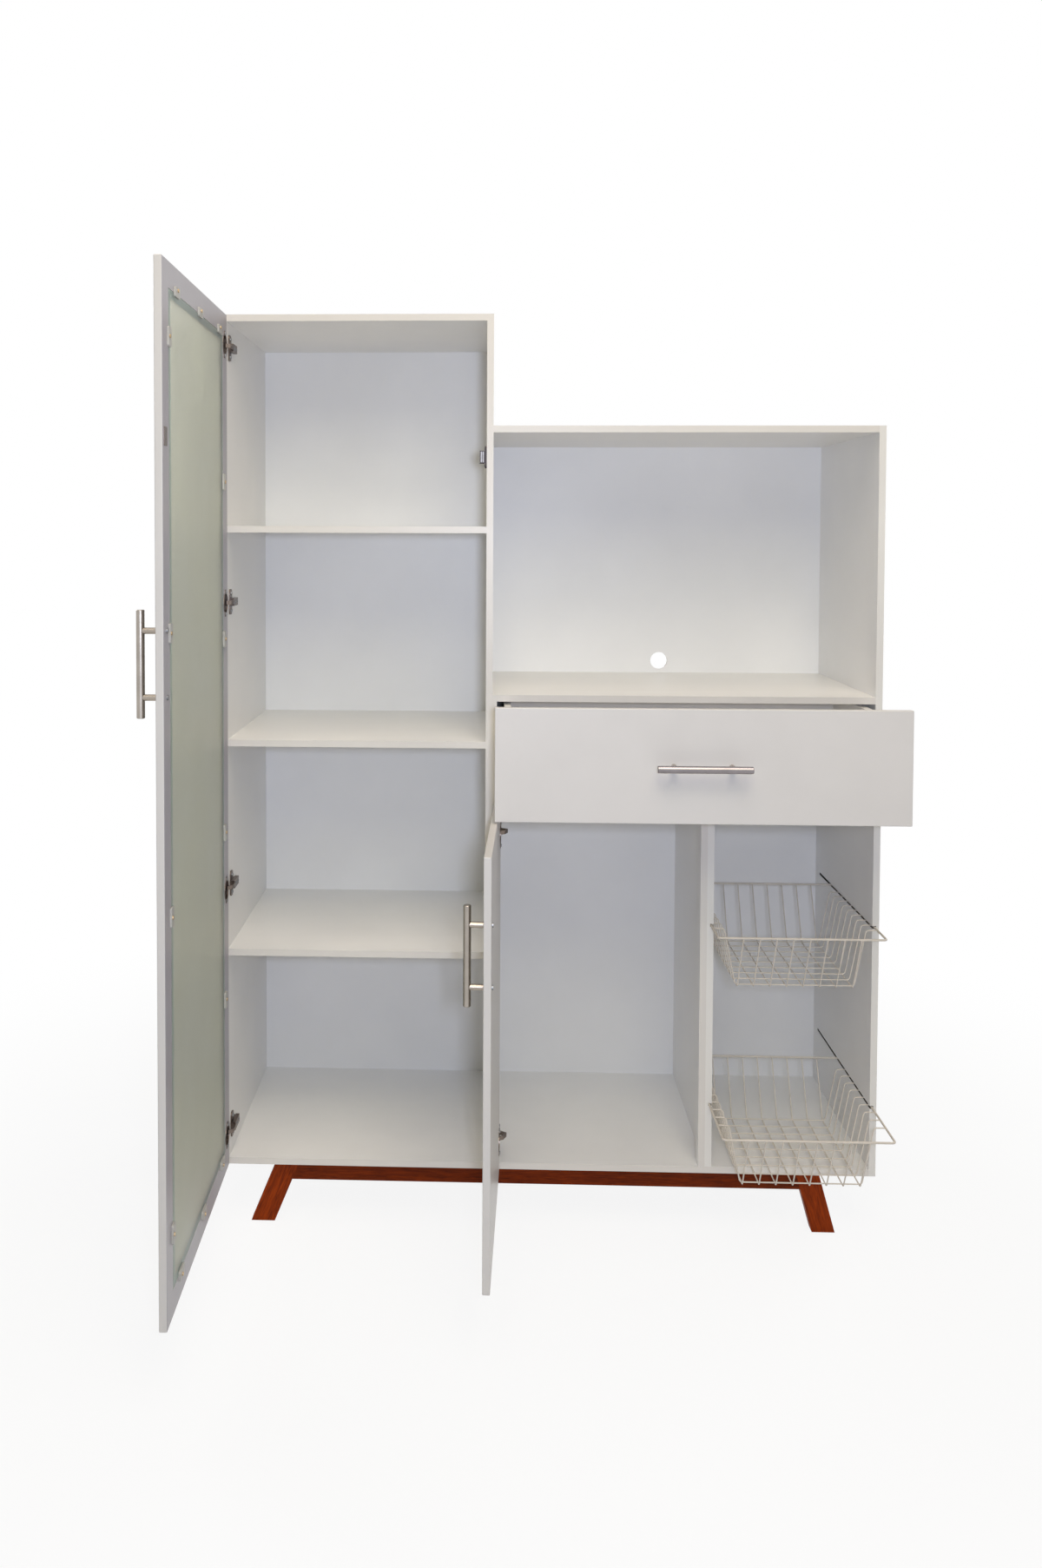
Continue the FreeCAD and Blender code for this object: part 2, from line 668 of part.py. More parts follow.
def tall_door():
    """Glazed door, shut."""
    handle_centre = Vector(TALL_RIGHT - TALL_HANDLE_INSET, DOOR_OUTER, BASE_UNDER + TALL_HANDLE_HEIGHT)
    pull = handle(handle_centre, Vector(0, 0, 1), Vector(0, -1, 0))
    frame = eased(block(TALL_LEFT, TALL_RIGHT, DOOR_OUTER, DOOR_INNER, TALL_BOTTOM, TALL_TOP), EDGE_ROUND)
    frame = frame.cut(block(
        TALL_LEFT + STILE_WIDTH, TALL_RIGHT - STILE_WIDTH, DOOR_OUTER, DOOR_INNER,
        TALL_BOTTOM + STILE_WIDTH, TALL_TOP - STILE_WIDTH,
    ))
    frame = frame.cut(pane(0))
    cups = []
    for height in TALL_HINGE_HEIGHTS:
        z = BASE_UNDER + height
        cups.append(hinge_cup(TALL_LEFT, z))
        frame = frame.cut(cup_bore(TALL_LEFT, z))
    clips, clip_screws = glass_clips()
    frame = frame.cut(clip_screws).cut(pull["holes"])
    return {
        "tall_door_frame": frame,
        "tall_door_glass": pane(GLASS_GAP),
        "glass_clips": clips,
        "glass_clip_screws": clip_screws,
        "tall_hinge_cups": Part.makeCompound(cups),
        "tall_handle_bar": pull["bar"],
        "tall_handle_posts": pull["posts"],
        "tall_handle_screws": pull["screws"],
        "strike_plate": strike_plate(),
    }


def pane(gap):
    """Space of the glass in its rebate, less a gap all round."""
    inset = STILE_WIDTH - REBATE_WIDTH + gap
    return block(
        TALL_LEFT + inset, TALL_RIGHT - inset, DOOR_INNER - GLASS_THICKNESS, DOOR_INNER,
        TALL_BOTTOM + inset, TALL_TOP - inset,
    )


def glass_clips():
    """Moulded clips screwed to the frame and lapping the glass, with their screws."""
    glass_inset = STILE_WIDTH - REBATE_WIDTH
    seat = glass_inset + CLIP_OVERLAP - CLIP_WIDTH / 2
    places = []
    for height in FREE_STILE_CLIP_HEIGHTS:
        places.append((TALL_RIGHT - seat, BASE_UNDER + height, True, Vector(1, 0, 0)))
    for height in HINGE_STILE_CLIP_HEIGHTS:
        places.append((TALL_LEFT + seat, BASE_UNDER + height, True, Vector(-1, 0, 0)))
    for share in RAIL_CLIP_SHARES:
        x = TALL_LEFT + share * (TALL_RIGHT - TALL_LEFT)
        places.append((x, TALL_TOP - seat, False, Vector(0, 0, 1)))
        places.append((x, TALL_BOTTOM + seat, False, Vector(0, 0, -1)))
    clips = []
    screws = []
    for x, z, upright, outwards in places:
        half_x = (CLIP_WIDTH if upright else CLIP_LENGTH) / 2
        half_z = (CLIP_LENGTH if upright else CLIP_WIDTH) / 2
        clip = block(x - half_x, x + half_x, DOOR_INNER, DOOR_INNER + CLIP_THICKNESS, z - half_z, z + half_z)
        clip = fillet_along(clip, Vector(0, 1, 0), CLIP_CORNER)
        frame_side = (CLIP_WIDTH - CLIP_OVERLAP) / 2
        middle = Vector(x, DOOR_INNER + CLIP_THICKNESS, z) + outwards * (CLIP_WIDTH / 2 - frame_side)
        fixing = screw(
            middle, Vector(0, 1, 0), CLIP_SCREW_HEAD_RADIUS, CLIP_SCREW_HEAD_HEIGHT,
            CLIP_SCREW_RADIUS, CLIP_SCREW_LENGTH,
        )
        clips.append(clip.cut(fixing))
        screws.append(fixing)
    return Part.makeCompound(clips), Part.makeCompound(screws)


def catch_middle():
    """Distance of the catch and its strike from the partition's left face."""
    return CATCH_BASE_THICKNESS + CATCH_BODY_THICKNESS / 2


def strike_plate():
    """Steel plate on the tall door that meets the catch."""
    x = PARTITION_LEFT - catch_middle()
    z = BASE_UNDER + CATCH_HEIGHT
    plate = block(
        x - STRIKE_WIDTH / 2, x + STRIKE_WIDTH / 2, DOOR_INNER, DOOR_INNER + STRIKE_THICKNESS,
        z - STRIKE_LENGTH / 2, z + STRIKE_LENGTH / 2,
    )
    return fillet_along(plate, Vector(0, 1, 0), STRIKE_CORNER)


def catch():
    """Magnetic catch on the partition: a plastic body and two steel poles."""
    z = BASE_UNDER + CATCH_HEIGHT
    face = PARTITION_LEFT
    rear = CATCH_SETBACK + CATCH_DEPTH
    base = block(
        face - CATCH_BASE_THICKNESS, face, CATCH_SETBACK, rear,
        z - CATCH_BASE_LENGTH / 2, z + CATCH_BASE_LENGTH / 2,
    )
    base = fillet_along(base, Vector(1, 0, 0), CATCH_BASE_THICKNESS)
    outer = face - CATCH_BASE_THICKNESS - CATCH_BODY_THICKNESS
    body = block(
        outer, face - CATCH_BASE_THICKNESS, CATCH_SETBACK, rear,
        z - CATCH_BODY_LENGTH / 2, z + CATCH_BODY_LENGTH / 2,
    )
    tip = DOOR_INNER + STRIKE_THICKNESS + STRIKE_GAP
    poles = []
    for x in (outer + POLE_WALL, face - CATCH_BASE_THICKNESS - POLE_WALL - POLE_THICKNESS):
        poles.append(block(
            x, x + POLE_THICKNESS, tip, rear - POLE_WALL,
            z - CATCH_BODY_LENGTH / 2 + POLE_WALL, z + CATCH_BODY_LENGTH / 2 - POLE_WALL,
        ))
    pole_pair = Part.makeCompound(poles)
    return {"catch_body": join([base, body]).cut(pole_pair), "catch_poles": pole_pair}


# Small door


def small_door():
    """Cupboard door, shut."""
    handle_centre = Vector(SMALL_RIGHT - SMALL_HANDLE_INSET, DOOR_OUTER, BASE_UNDER + SMALL_HANDLE_HEIGHT)
    pull = handle(handle_centre, Vector(0, 0, 1), Vector(0, -1, 0))
    panel = block(BAY_FRONT_LEFT, SMALL_RIGHT, DOOR_OUTER, DOOR_INNER, SMALL_BOTTOM, SMALL_TOP)
    panel = eased(panel, EDGE_ROUND)
    cups = []
    for height in SMALL_HINGE_HEIGHTS:
        z = BASE_UNDER + height
        cups.append(hinge_cup(BAY_FRONT_LEFT, z))
        panel = panel.cut(cup_bore(BAY_FRONT_LEFT, z))
    return {
        "small_door_panel": panel.cut(pull["holes"]),
        "small_hinge_cups": Part.makeCompound(cups),
        "small_handle_bar": pull["bar"],
        "small_handle_posts": pull["posts"],
        "small_handle_screws": pull["screws"],
    }


# Drawer


def drawer():
    """Drawer box with its front, handle and runner members, shut."""
    front_middle = (BAY_FRONT_LEFT + CABINET_WIDTH) / 2
    front_level = (DRAWER_FRONT_BOTTOM + NICHE_FLOOR) / 2
    pull = handle(Vector(front_middle, DOOR_OUTER, front_level), Vector(1, 0, 0), Vector(0, -1, 0))
    front = block(BAY_FRONT_LEFT, CABINET_WIDTH, DOOR_OUTER, DOOR_INNER, DRAWER_FRONT_BOTTOM, NICHE_FLOOR)
    front = eased(front, EDGE_ROUND)
    inner_left = DRAWER_LEFT + BOARD
    inner_right = DRAWER_RIGHT - BOARD
    inner_rear = DRAWER_REAR - BOARD
    floor_low = DRAWER_LOW + DRAWER_GROOVE_RISE
    bottom = block(
        inner_left - DRAWER_GROOVE, inner_right + DRAWER_GROOVE, DOOR_INNER, inner_rear + DRAWER_GROOVE,
        floor_low, floor_low + DRAWER_BOTTOM,
    )
    left = block(DRAWER_LEFT, inner_left, DOOR_INNER, DRAWER_REAR, DRAWER_LOW, DRAWER_HIGH)
    right = block(inner_right, DRAWER_RIGHT, DOOR_INNER, DRAWER_REAR, DRAWER_LOW, DRAWER_HIGH)
    back = block(inner_left, inner_right, inner_rear, DRAWER_REAR, DRAWER_LOW, DRAWER_HIGH)
    return {
        "drawer_front": front.cut(pull["holes"]),
        "drawer_left_side": left.cut(bottom),
        "drawer_right_side": right.cut(bottom),
        "drawer_back": back.cut(bottom),
        "drawer_bottom": bottom,
        "drawer_handle_bar": pull["bar"],
        "drawer_handle_posts": pull["posts"],
        "drawer_handle_screws": pull["screws"],
        "drawer_runners": Part.makeCompound([drawer_runner(face, side) for face, side in runner_faces()]),
    }


def runner_faces():
    """Cabinet faces that carry the runners, with the way into the bay."""
    return ((PACKER_RIGHT, 1), (BAY_RIGHT, -1))


def runner_bar(face, side, section):
    """Folded steel section, given across from the cabinet face and up, run along the drawer."""
    outline = []
    for across, up in section:
        outline.append(Vector(face + side * across, RUNNER_SETBACK, up))
    return prism(outline, Vector(0, RUNNER_REAR - RUNNER_SETBACK, 0))


def cabinet_runner(face, side):
    """Cabinet member: upright web, bottom track, small top lip and the front roller's axle."""
    steel = RUNNER_STEEL
    lip_top = RUNNER_FLANGE + steel
    bar = runner_bar(face, side, (
        (0, TRACK_TOP - steel), (RUNNER_TRACK_WIDTH, TRACK_TOP - steel), (RUNNER_TRACK_WIDTH, TRACK_TOP),
        (steel, TRACK_TOP), (steel, lip_top - steel), (steel + RUNNER_LIP, lip_top - steel),
        (steel + RUNNER_LIP, lip_top), (0, lip_top),
    ))
    reach = steel + ROLLER_SIDE_PLAY + ROLLER_WIDTH + AXLE_END
    start = Vector(face, FRONT_ROLLER_Y, ROLLER_Z)
    axle = rod(start, start + Vector(side * reach, 0, 0), AXLE_RADIUS)
    return join([bar, axle])


def drawer_runner(face, side):
    """Drawer member: web on the drawer side, flange over the front roller and the rear roller's axle."""
    steel = RUNNER_STEEL
    web = RUNNER_GAP - steel
    bar = runner_bar(face, side, (
        (RUNNER_GAP, DRAWER_LOW), (RUNNER_GAP, RUNNER_FLANGE + RUNNER_FLANGE_RISE),
        (web, RUNNER_FLANGE + RUNNER_FLANGE_RISE), (web, RUNNER_FLANGE + steel),
        (RUNNER_FLANGE_STOP, RUNNER_FLANGE + steel), (RUNNER_FLANGE_STOP, RUNNER_FLANGE),
        (web, RUNNER_FLANGE), (web, DRAWER_LOW),
    ))
    reach = RUNNER_GAP - steel - ROLLER_SIDE_PLAY - ROLLER_WIDTH - AXLE_END
    start = Vector(face + side * RUNNER_GAP, REAR_ROLLER_Y, ROLLER_Z)
    axle = rod(start, Vector(face + side * reach, REAR_ROLLER_Y, ROLLER_Z), AXLE_RADIUS)
    return join([bar, axle])


def roller_pair(y, near):
    """Two rollers on one line across the bay, each a given distance from its cabinet face."""
    rollers = []
    for face, side in runner_faces():
        start = Vector(face + side * near, y, ROLLER_Z)
        end = start + Vector(side * ROLLER_WIDTH, 0, 0)
        rollers.append(rod(start, end, ROLLER_RADIUS).cut(rod(start, end, AXLE_RADIUS + AXLE_PLAY)))
    return Part.makeCompound(rollers)


def cabinet_rollers():
    """Front rollers, on the cabinet members."""
    return roller_pair(FRONT_ROLLER_Y, RUNNER_STEEL + ROLLER_SIDE_PLAY)


def drawer_rollers():
    """Rear rollers, on the drawer members."""
    return roller_pair(REAR_ROLLER_Y, RUNNER_GAP - RUNNER_STEEL - ROLLER_SIDE_PLAY - ROLLER_WIDTH)


# Wire baskets


def basket_rim(rim):
    """Closed rim wire whose sides run in the grooves."""
    middle = (RIM_LEFT + RIM_RIGHT) / 2
    corners = [
        Vector(middle, RIM_REAR, rim),
        Vector(RIM_RIGHT, RIM_REAR, rim),
        Vector(RIM_RIGHT, RIM_FRONT, rim),
        Vector(RIM_LEFT, RIM_FRONT, rim),
        Vector(RIM_LEFT, RIM_REAR, rim),
        Vector(middle, RIM_REAR, rim),
    ]
    return bent_wire(corners, RIM_CORNER, RIM_RADIUS)


def spread(first, last, count):
    """Evenly spaced places from first to last."""
    return [first + (last - first) * index / (count - 1) for index in range(count)]


def cross_wires(rim):
    """Wires from rim side to rim side: a ledge, a sloping wall, the floor and back up."""
    floor = rim - BASKET_DEPTH
    left = RIM_LEFT + RIM_RADIUS + WELD_GAP
    right = RIM_RIGHT - RIM_RADIUS - WELD_GAP
    slope_turn = math.atan2(BASKET_DEPTH, END_SLOPE)
    inset = END_SLOPE + WIRE_BEND * math.tan(slope_turn / 2)
    wires = []
    for y in spread(RIM_FRONT + inset, RIM_REAR - inset, CROSS_WIRE_COUNT):
        wires.append(bent_wire([
            Vector(left, y, rim),
            Vector(left + LEDGE, y, rim),
            Vector(left + LEDGE + SIDE_SLOPE, y, floor),
            Vector(right - LEDGE - SIDE_SLOPE, y, floor),
            Vector(right - LEDGE, y, rim),
            Vector(right, y, rim),
        ], WIRE_BEND, WIRE_RADIUS))
    return Part.makeCompound(wires)


def long_wires(rim):
    """Wires from the front bar to the rear bar, passing under the cross wires."""
    floor = rim - BASKET_DEPTH - 2 * WIRE_RADIUS - WELD_GAP
    end_slant = math.atan2(END_SLOPE, BASKET_DEPTH)
    top = rim - RIM_RADIUS - WIRE_RADIUS * math.sin(end_slant) - WELD_GAP
    edge = RIM_RADIUS + LEDGE + SIDE_SLOPE + LONG_WIRE_EDGE
    wires = []
    for x in spread(RIM_LEFT + edge, RIM_RIGHT - edge, LONG_WIRE_COUNT):
        wires.append(bent_wire([
            Vector(x, RIM_FRONT, top),
            Vector(x, RIM_FRONT + END_SLOPE, floor),
            Vector(x, RIM_REAR - END_SLOPE, floor),
            Vector(x, RIM_REAR, top),
        ], WIRE_BEND, WIRE_RADIUS))
    return Part.makeCompound(wires)


def basket(name, rim_height):
    """One welded wire basket, pushed in."""
    rim = BASE_UNDER + rim_height
    return {
        name + "_basket_rim": basket_rim(rim),
        name + "_basket_cross_wires": cross_wires(rim),
        name + "_basket_long_wires": long_wires(rim),
    }


# Whole cabinet


def swung(shapes, pin_x, angle):
    """Door pieces turned open about their hinge pins; the free edge comes forward."""
    turned = {}
    for name, shape in shapes.items():
        turned[name] = shape.copy()
        turned[name].rotate(Vector(pin_x, PIN_Y, 0), Vector(0, 0, 1), -angle)
    return turned


def pulled(shapes, distance):
    """Sliding pieces drawn out towards the front."""
    moved = {}
    for name, shape in shapes.items():
        moved[name] = shape.translated(Vector(0, -distance, 0))
    return moved


def cabinet_in_carcass_frame():
    """Every piece by name, in the standing pose, in carcass coordinates."""
    pieces = {}
    pieces.update(side_panels())
    pieces.update(level_boards())
    pieces.update(divider())
    pieces.update(battens())
    pieces.update(back_panels())
    pieces.update(stand())
    pieces.update(carcass_hinge_parts())
    pieces.update(catch())
    runners = [cabinet_runner(face, side) for face, side in runner_faces()]
    pieces["cabinet_runners"] = Part.makeCompound(runners)
    pieces["cabinet_rollers"] = cabinet_rollers()
    pieces.update(swung(tall_door(), TALL_PIN_X, TALL_DOOR_OPEN))
    pieces.update(swung(small_door(), SMALL_PIN_X, SMALL_DOOR_OPEN))
    pieces.update(pulled(drawer(), DRAWER_OUT))
    pieces.update(pulled({"drawer_rollers": drawer_rollers()}, DRAWER_OUT))
    pieces.update(pulled(basket("upper", UPPER_RIM_HEIGHT), UPPER_BASKET_OUT))
    pieces.update(pulled(basket("lower", LOWER_RIM_HEIGHT), LOWER_BASKET_OUT))
    return pieces


def footprint_middle(pieces):
    """Middle of the footprint of the standing cabinet, on the floor."""
    bounds = Part.makeCompound(list(pieces.values())).optimalBoundingBox(False)
    return Vector(bounds.Center.x, bounds.Center.y, bounds.ZMin)


def main():
    """Builds the cabinet and writes one file per piece."""
    pieces = cabinet_in_carcass_frame()
    origin = footprint_middle(pieces)
    os.makedirs("parts", exist_ok=True)
    for name, shape in pieces.items():
        shape.translated(origin * -1).exportStep(os.path.join("parts", name + ".step"))
    print("pieces", len(pieces))
    print("origin in carcass coordinates", round(origin.x, 4), round(origin.y, 4), round(origin.z, 4))


if __name__ == "__main__":
    main()
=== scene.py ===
"""Looks of a free-standing white kitchen cabinet: its finishes, its small fixings and a plain studio.

The solids stay where they are. Each operator finishes one group of pieces, or makes one kind of small
fixing that holds them: hinge screws, catch screws, weld spots of the baskets and pins of the back.
"""

import json
import math

import bmesh
import bpy
from mathutils import Euler, Matrix, Vector


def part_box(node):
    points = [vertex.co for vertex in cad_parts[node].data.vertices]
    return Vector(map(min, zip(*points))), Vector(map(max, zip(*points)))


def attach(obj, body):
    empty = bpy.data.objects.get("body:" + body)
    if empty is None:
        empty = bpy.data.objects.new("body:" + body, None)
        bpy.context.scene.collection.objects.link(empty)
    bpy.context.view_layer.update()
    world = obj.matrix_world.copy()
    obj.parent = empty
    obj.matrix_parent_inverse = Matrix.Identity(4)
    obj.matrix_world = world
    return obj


bl_info = {
    "name": "Kitchen cabinet finish",
    "version": (1, 0, 0),
    "blender": (4, 5, 0),
    "location": "View3D > Sidebar > Cabinet",
    "description": "Finishes a white kitchen cabinet and sets it in a plain studio",
    "category": "Object",
}

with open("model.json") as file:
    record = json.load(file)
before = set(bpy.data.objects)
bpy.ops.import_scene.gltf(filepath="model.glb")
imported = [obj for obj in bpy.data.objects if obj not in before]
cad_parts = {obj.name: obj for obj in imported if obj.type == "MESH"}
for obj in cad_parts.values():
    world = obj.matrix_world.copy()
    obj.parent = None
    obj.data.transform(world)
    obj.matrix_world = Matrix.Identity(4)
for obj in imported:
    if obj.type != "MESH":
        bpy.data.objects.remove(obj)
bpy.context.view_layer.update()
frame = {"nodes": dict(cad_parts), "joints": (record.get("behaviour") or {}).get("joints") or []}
NODES = frame["nodes"]
JOINTS = {joint["name"]: joint for joint in frame["joints"]}
MM = 0.001

# Groups of like pieces
BOARDS = (
    "left_side_panel", "centre_partition", "base_panel", "column_top_panel", "bay_top_panel",
    "upper_shelf", "middle_shelf", "lower_shelf", "niche_floor", "drawer_deck",
    "battens", "drawer_left_side", "drawer_right_side", "drawer_back",
)
GROOVED_BOARDS = ("right_side_panel", "bay_divider")
THIN_PANELS = ("column_back_panel", "bay_back_panel", "drawer_bottom")
PINNED_PANELS = ("column_back_panel", "bay_back_panel")
RAILS = ("front_leg_rail", "rear_leg_rail")
LEFT_LEGS = ("front_left_leg", "rear_left_leg")
RIGHT_LEGS = ("front_right_leg", "rear_right_leg")
UPRIGHT_BARS = ("tall_handle_bar", "small_handle_bar")
LEVEL_BARS = ("drawer_handle_bar",)
POSTS = ("tall_handle_posts", "small_handle_posts", "drawer_handle_posts")
HINGE_ARMS = ("tall_hinge_arms", "small_hinge_arms")
HINGE_STEEL = ("hinge_plates", *HINGE_ARMS, "tall_hinge_cups", "small_hinge_cups", "strike_plate")
ZINC = (
    "hinge_pins", "stand_screws", "tall_handle_screws", "small_handle_screws", "drawer_handle_screws",
)
RUNNERS = ("cabinet_runners", "drawer_runners")
ROLLERS = ("cabinet_rollers", "drawer_rollers")
BASKETS = ("upper_basket", "lower_basket")
WIRES = tuple(basket + wire for basket in BASKETS for wire in ("_rim", "_cross_wires", "_long_wires"))

# Directions that a surface can face, as axis and sign, and the cosine past which it faces one
FRONT = ("Y", -1.0)
RIGHT = ("X", 1.0)
UP = ("Z", 1.0)
FACING = 0.7

# Splay of the legs, which their grain follows
LEFT_LEG_SPLAY = math.radians(22.5)
RIGHT_LEG_SPLAY = math.radians(15.5)

# Sizes of the solids that the fixings follow
PLATE_THICKNESS = 2.2 * MM
CATCH_BASE = 3.5 * MM
RIM_RADIUS = 1.9 * MM

# Places of the fixings: shares of a hinge plate's half height, then distances from the end of a piece
WING_START = 0.6
WING_SCREW = 0.68
ARM_END = 5 * MM
ARM_SETBACKS = (8 * MM, 22 * MM)
CUP_EAR = 4.5 * MM
CATCH_EAR = 4.1 * MM
PIN_INSET = 6 * MM

# Heights of the heads; the strike's head is sunk and stands a hair proud of its plate
PLATE_HEAD = 1.9 * MM
ARM_HEAD = 1.2 * MM
CUP_HEAD = 1.4 * MM
CATCH_HEAD = 1.0 * MM
PIN_HEAD = 0.5 * MM
SUNK_HEAD = 0.5 * MM
PROUD_HEAD = 0.04 * MM

# Form of a head: its sides, then its top, the rim round its recess and the recess's depth as shares
HEAD_SIDES = 16
HEAD_TOP = 0.72
RECESS_RIM = 0.3
RECESS_DEPTH = 0.45

# Reading of a node's solids: points nearer than this are one, and places are sorted to these digits
MERGE_DISTANCE = 0.01 * MM
SORT_DIGITS = 5

# Sockets of the Mix node by number, because its names repeat for each kind of data
MIX_SHARE = 0
MIX_FIRST_VALUE = 2
MIX_SECOND_VALUE = 3
MIX_FIRST_COLOUR = 6
MIX_SECOND_COLOUR = 7
MIX_VALUE_OUT = 0
MIX_COLOUR_OUT = 2

# Values between which a noise mostly lies, and which stand for the two ends of a pattern
NOISE_SPAN = (0.3, 0.7)
FIGURE_SPAN = (0.36, 0.62)

# Share of a colour that is left in its darker patches
COAT_SHADE = 0.96
CORE_SHADE = 0.80
SMUDGE_SHADE = 0.84
FLOW_SHADE = 0.86
ETCH_SHADE = 0.94

# Steps of roughness to either side of a finish's own, and roughness of the other finishes
ENAMEL_STEPS = (-0.05, 0.06)
METAL_STEPS = (-0.07, 0.09)
PLASTIC_STEPS = (-0.06, 0.08)
TIMBER_SHEEN = (0.40, 0.56)
GLASS_SHEEN = (0.38, 0.52)
RAW_ROUGHNESS = 0.85

# Relief of each finish: strength and depth
PEEL_RELIEF = (0.12, 0.6 * MM)
BOARD_RELIEF = (0.15, 0.6 * MM)
GRAIN_RELIEF = (0.25, 0.2 * MM)
LINE_RELIEF = (0.12, 0.05 * MM)
RIPPLE_RELIEF = (0.20, 0.15 * MM)
FROST_RELIEF = (0.08, 0.1 * MM)

# Depth at which a groove shows raw board that is drawn dark as painted shade, blur of the pane's border,
# share of streaks in the timber
GROOVE_START = 0.4 * MM
BORDER_BLUR = 1.5 * MM
STREAK_SHARE = 0.3

# Scale of polishing lines along each axis: the smaller it is, the longer the lines run that way
LINES_ACROSS = (0.006, 1.0, 1.0)
LINES_BACK = (1.0, 0.2, 1.0)
LINES_UP = (1.0, 1.0, 0.006)
SHORT_LINES_UP = (1.0, 1.0, 0.2)
NO_LINES = (1.0, 1.0, 1.0)

# Photograph's frame in pixels, and its camera's place from the carcass's front lower left corner
IMAGE_WIDTH = 1200
IMAGE_HEIGHT = 1805
OPTICAL_X = 513.80
OPTICAL_Y = 665.67
SENSOR_MM = 36.0
CAMERA_TURN = (0.0353, 0.0041, -0.0341)
CAMERA_PLACE = (0.4834, -2.2364, 1.1545)

# Floor in metres: how far it reaches, and between which distances it goes over to plain white
FLOOR_REACH = 30.0
FADE_START = 0.6
FADE_END = 2.0
WHITE = "#FFFFFF"

# Lamps: name, place and side in metres, power in watts, colour
LAMP_TARGET = (0.0, 0.1, 0.85)
LAMPS = (
    ("camera_lamp", (-0.01, -2.2, 1.30), 0.12, 17.7, "#DBE5FF"),
    ("front_softbox", (0.2, -2.4, 3.1), 1.6, 29.6, "#FFF8D6"),
    ("ceiling_softbox", (0.1, -1.2, 3.6), 2.0, 42.4, "#FFF0E2"),
    ("left_softbox", (-2.4, 1.6, 2.2), 1.4, 22.0, WHITE),
    ("right_softbox", (2.4, 1.6, 2.2), 1.4, 22.0, WHITE),
)


# Colours and shader nodes


def linear(hex_colour):
    """Linear colour with alpha from an sRGB hex value."""
    channels = []
    for start in (1, 3, 5):
        value = int(hex_colour[start:start + 2], 16) / 255
        channels.append(value / 12.92 if value <= 0.04045 else ((value + 0.055) / 1.055) ** 2.4)
    return (*channels, 1.0)


def darker(colour, share):
    """Linear colour brought down to a share of itself."""
    return (*(channel * share for channel in colour[:3]), 1.0)


def add_node(tree, kind, inputs=None, **settings):
    """Adds a node with its settings; an input is given a value or is linked to a socket."""
    made = tree.nodes.new(kind)
    for name, value in settings.items():
        setattr(made, name, value)
    for name, value in (inputs or {}).items():
        if isinstance(value, bpy.types.NodeSocket):
            tree.links.new(value, made.inputs[name])
        else:
            made.inputs[name].default_value = value
    return made


def start_material(name, **constants):
    """Starts a material whose principled shader has constants on its own sockets.

    Gives back the material, its tree, the shader and the socket of places on a piece.
    """
    material = bpy.data.materials.new(name)
    material.use_nodes = True
    tree = material.node_tree
    shader = tree.nodes["Principled BSDF"]
    for socket, value in constants.items():
        shader.inputs[socket.replace("_", " ")].default_value = value
    place = add_node(tree, "ShaderNodeTexCoord").outputs["Object"]
    return material, tree, shader, place


def lay_colours(tree, layers, span=NOISE_SPAN):
    """Colour of one or more layers, each mottled by a pattern and laid where its mask is one.

    A layer is its mask, its pattern and its colours at the two ends of the pattern.
    The lowest layer has no mask.
    """
    colour = None
    for mask, pattern, low, high in layers:
        share = add_node(tree, "ShaderNodeMapRange", {
            "Value": pattern, "From Min": span[0], "From Max": span[1],
        }).outputs["Result"]
        own = add_node(tree, "ShaderNodeMix", {
            MIX_SHARE: share, MIX_FIRST_COLOUR: low, MIX_SECOND_COLOUR: high,
        }, data_type="RGBA").outputs[MIX_COLOUR_OUT]
        if mask is not None:
            own = add_node(tree, "ShaderNodeMix", {
                MIX_SHARE: mask, MIX_FIRST_COLOUR: colour, MIX_SECOND_COLOUR: own,
            }, data_type="RGBA").outputs[MIX_COLOUR_OUT]
        colour = own
    return colour


def finish_surface(tree, shader, colour, sheen, relief):
    """Links a shader's colour, its roughness and its relief, which all vary over the surface.

    Sheen is a pattern and the roughness at its two ends.
    Relief is a height, its strength and its depth.
    """
    pattern, smooth, rough = sheen
    height, strength, depth = relief
    roughness = add_node(tree, "ShaderNodeMapRange", {
        "Value": pattern, "From Min": NOISE_SPAN[0], "From Max": NOISE_SPAN[1],
        "To Min": smooth, "To Max": rough,
    })
    bump = add_node(tree, "ShaderNodeBump", {"Height": height, "Strength": strength, "Distance": depth})
    tree.links.new(colour, shader.inputs["Base Color"])
    tree.links.new(roughness.outputs["Result"], shader.inputs["Roughness"])
    tree.links.new(bump.outputs["Normal"], shader.inputs["Normal"])


def faces_towards(tree, axis, sign):
    """One where the piece's own surface faces along an axis, and nought elsewhere."""
    normal = add_node(tree, "ShaderNodeTexCoord").outputs["Normal"]
    split = add_node(tree, "ShaderNodeSeparateXYZ", {"Vector": normal})
    along = add_node(tree, "ShaderNodeMath", {0: split.outputs[axis], 1: sign}, operation="MULTIPLY")
    return add_node(tree, "ShaderNodeMath", {
        0: along.outputs["Value"], 1: FACING,
    }, operation="GREATER_THAN").outputs["Value"]


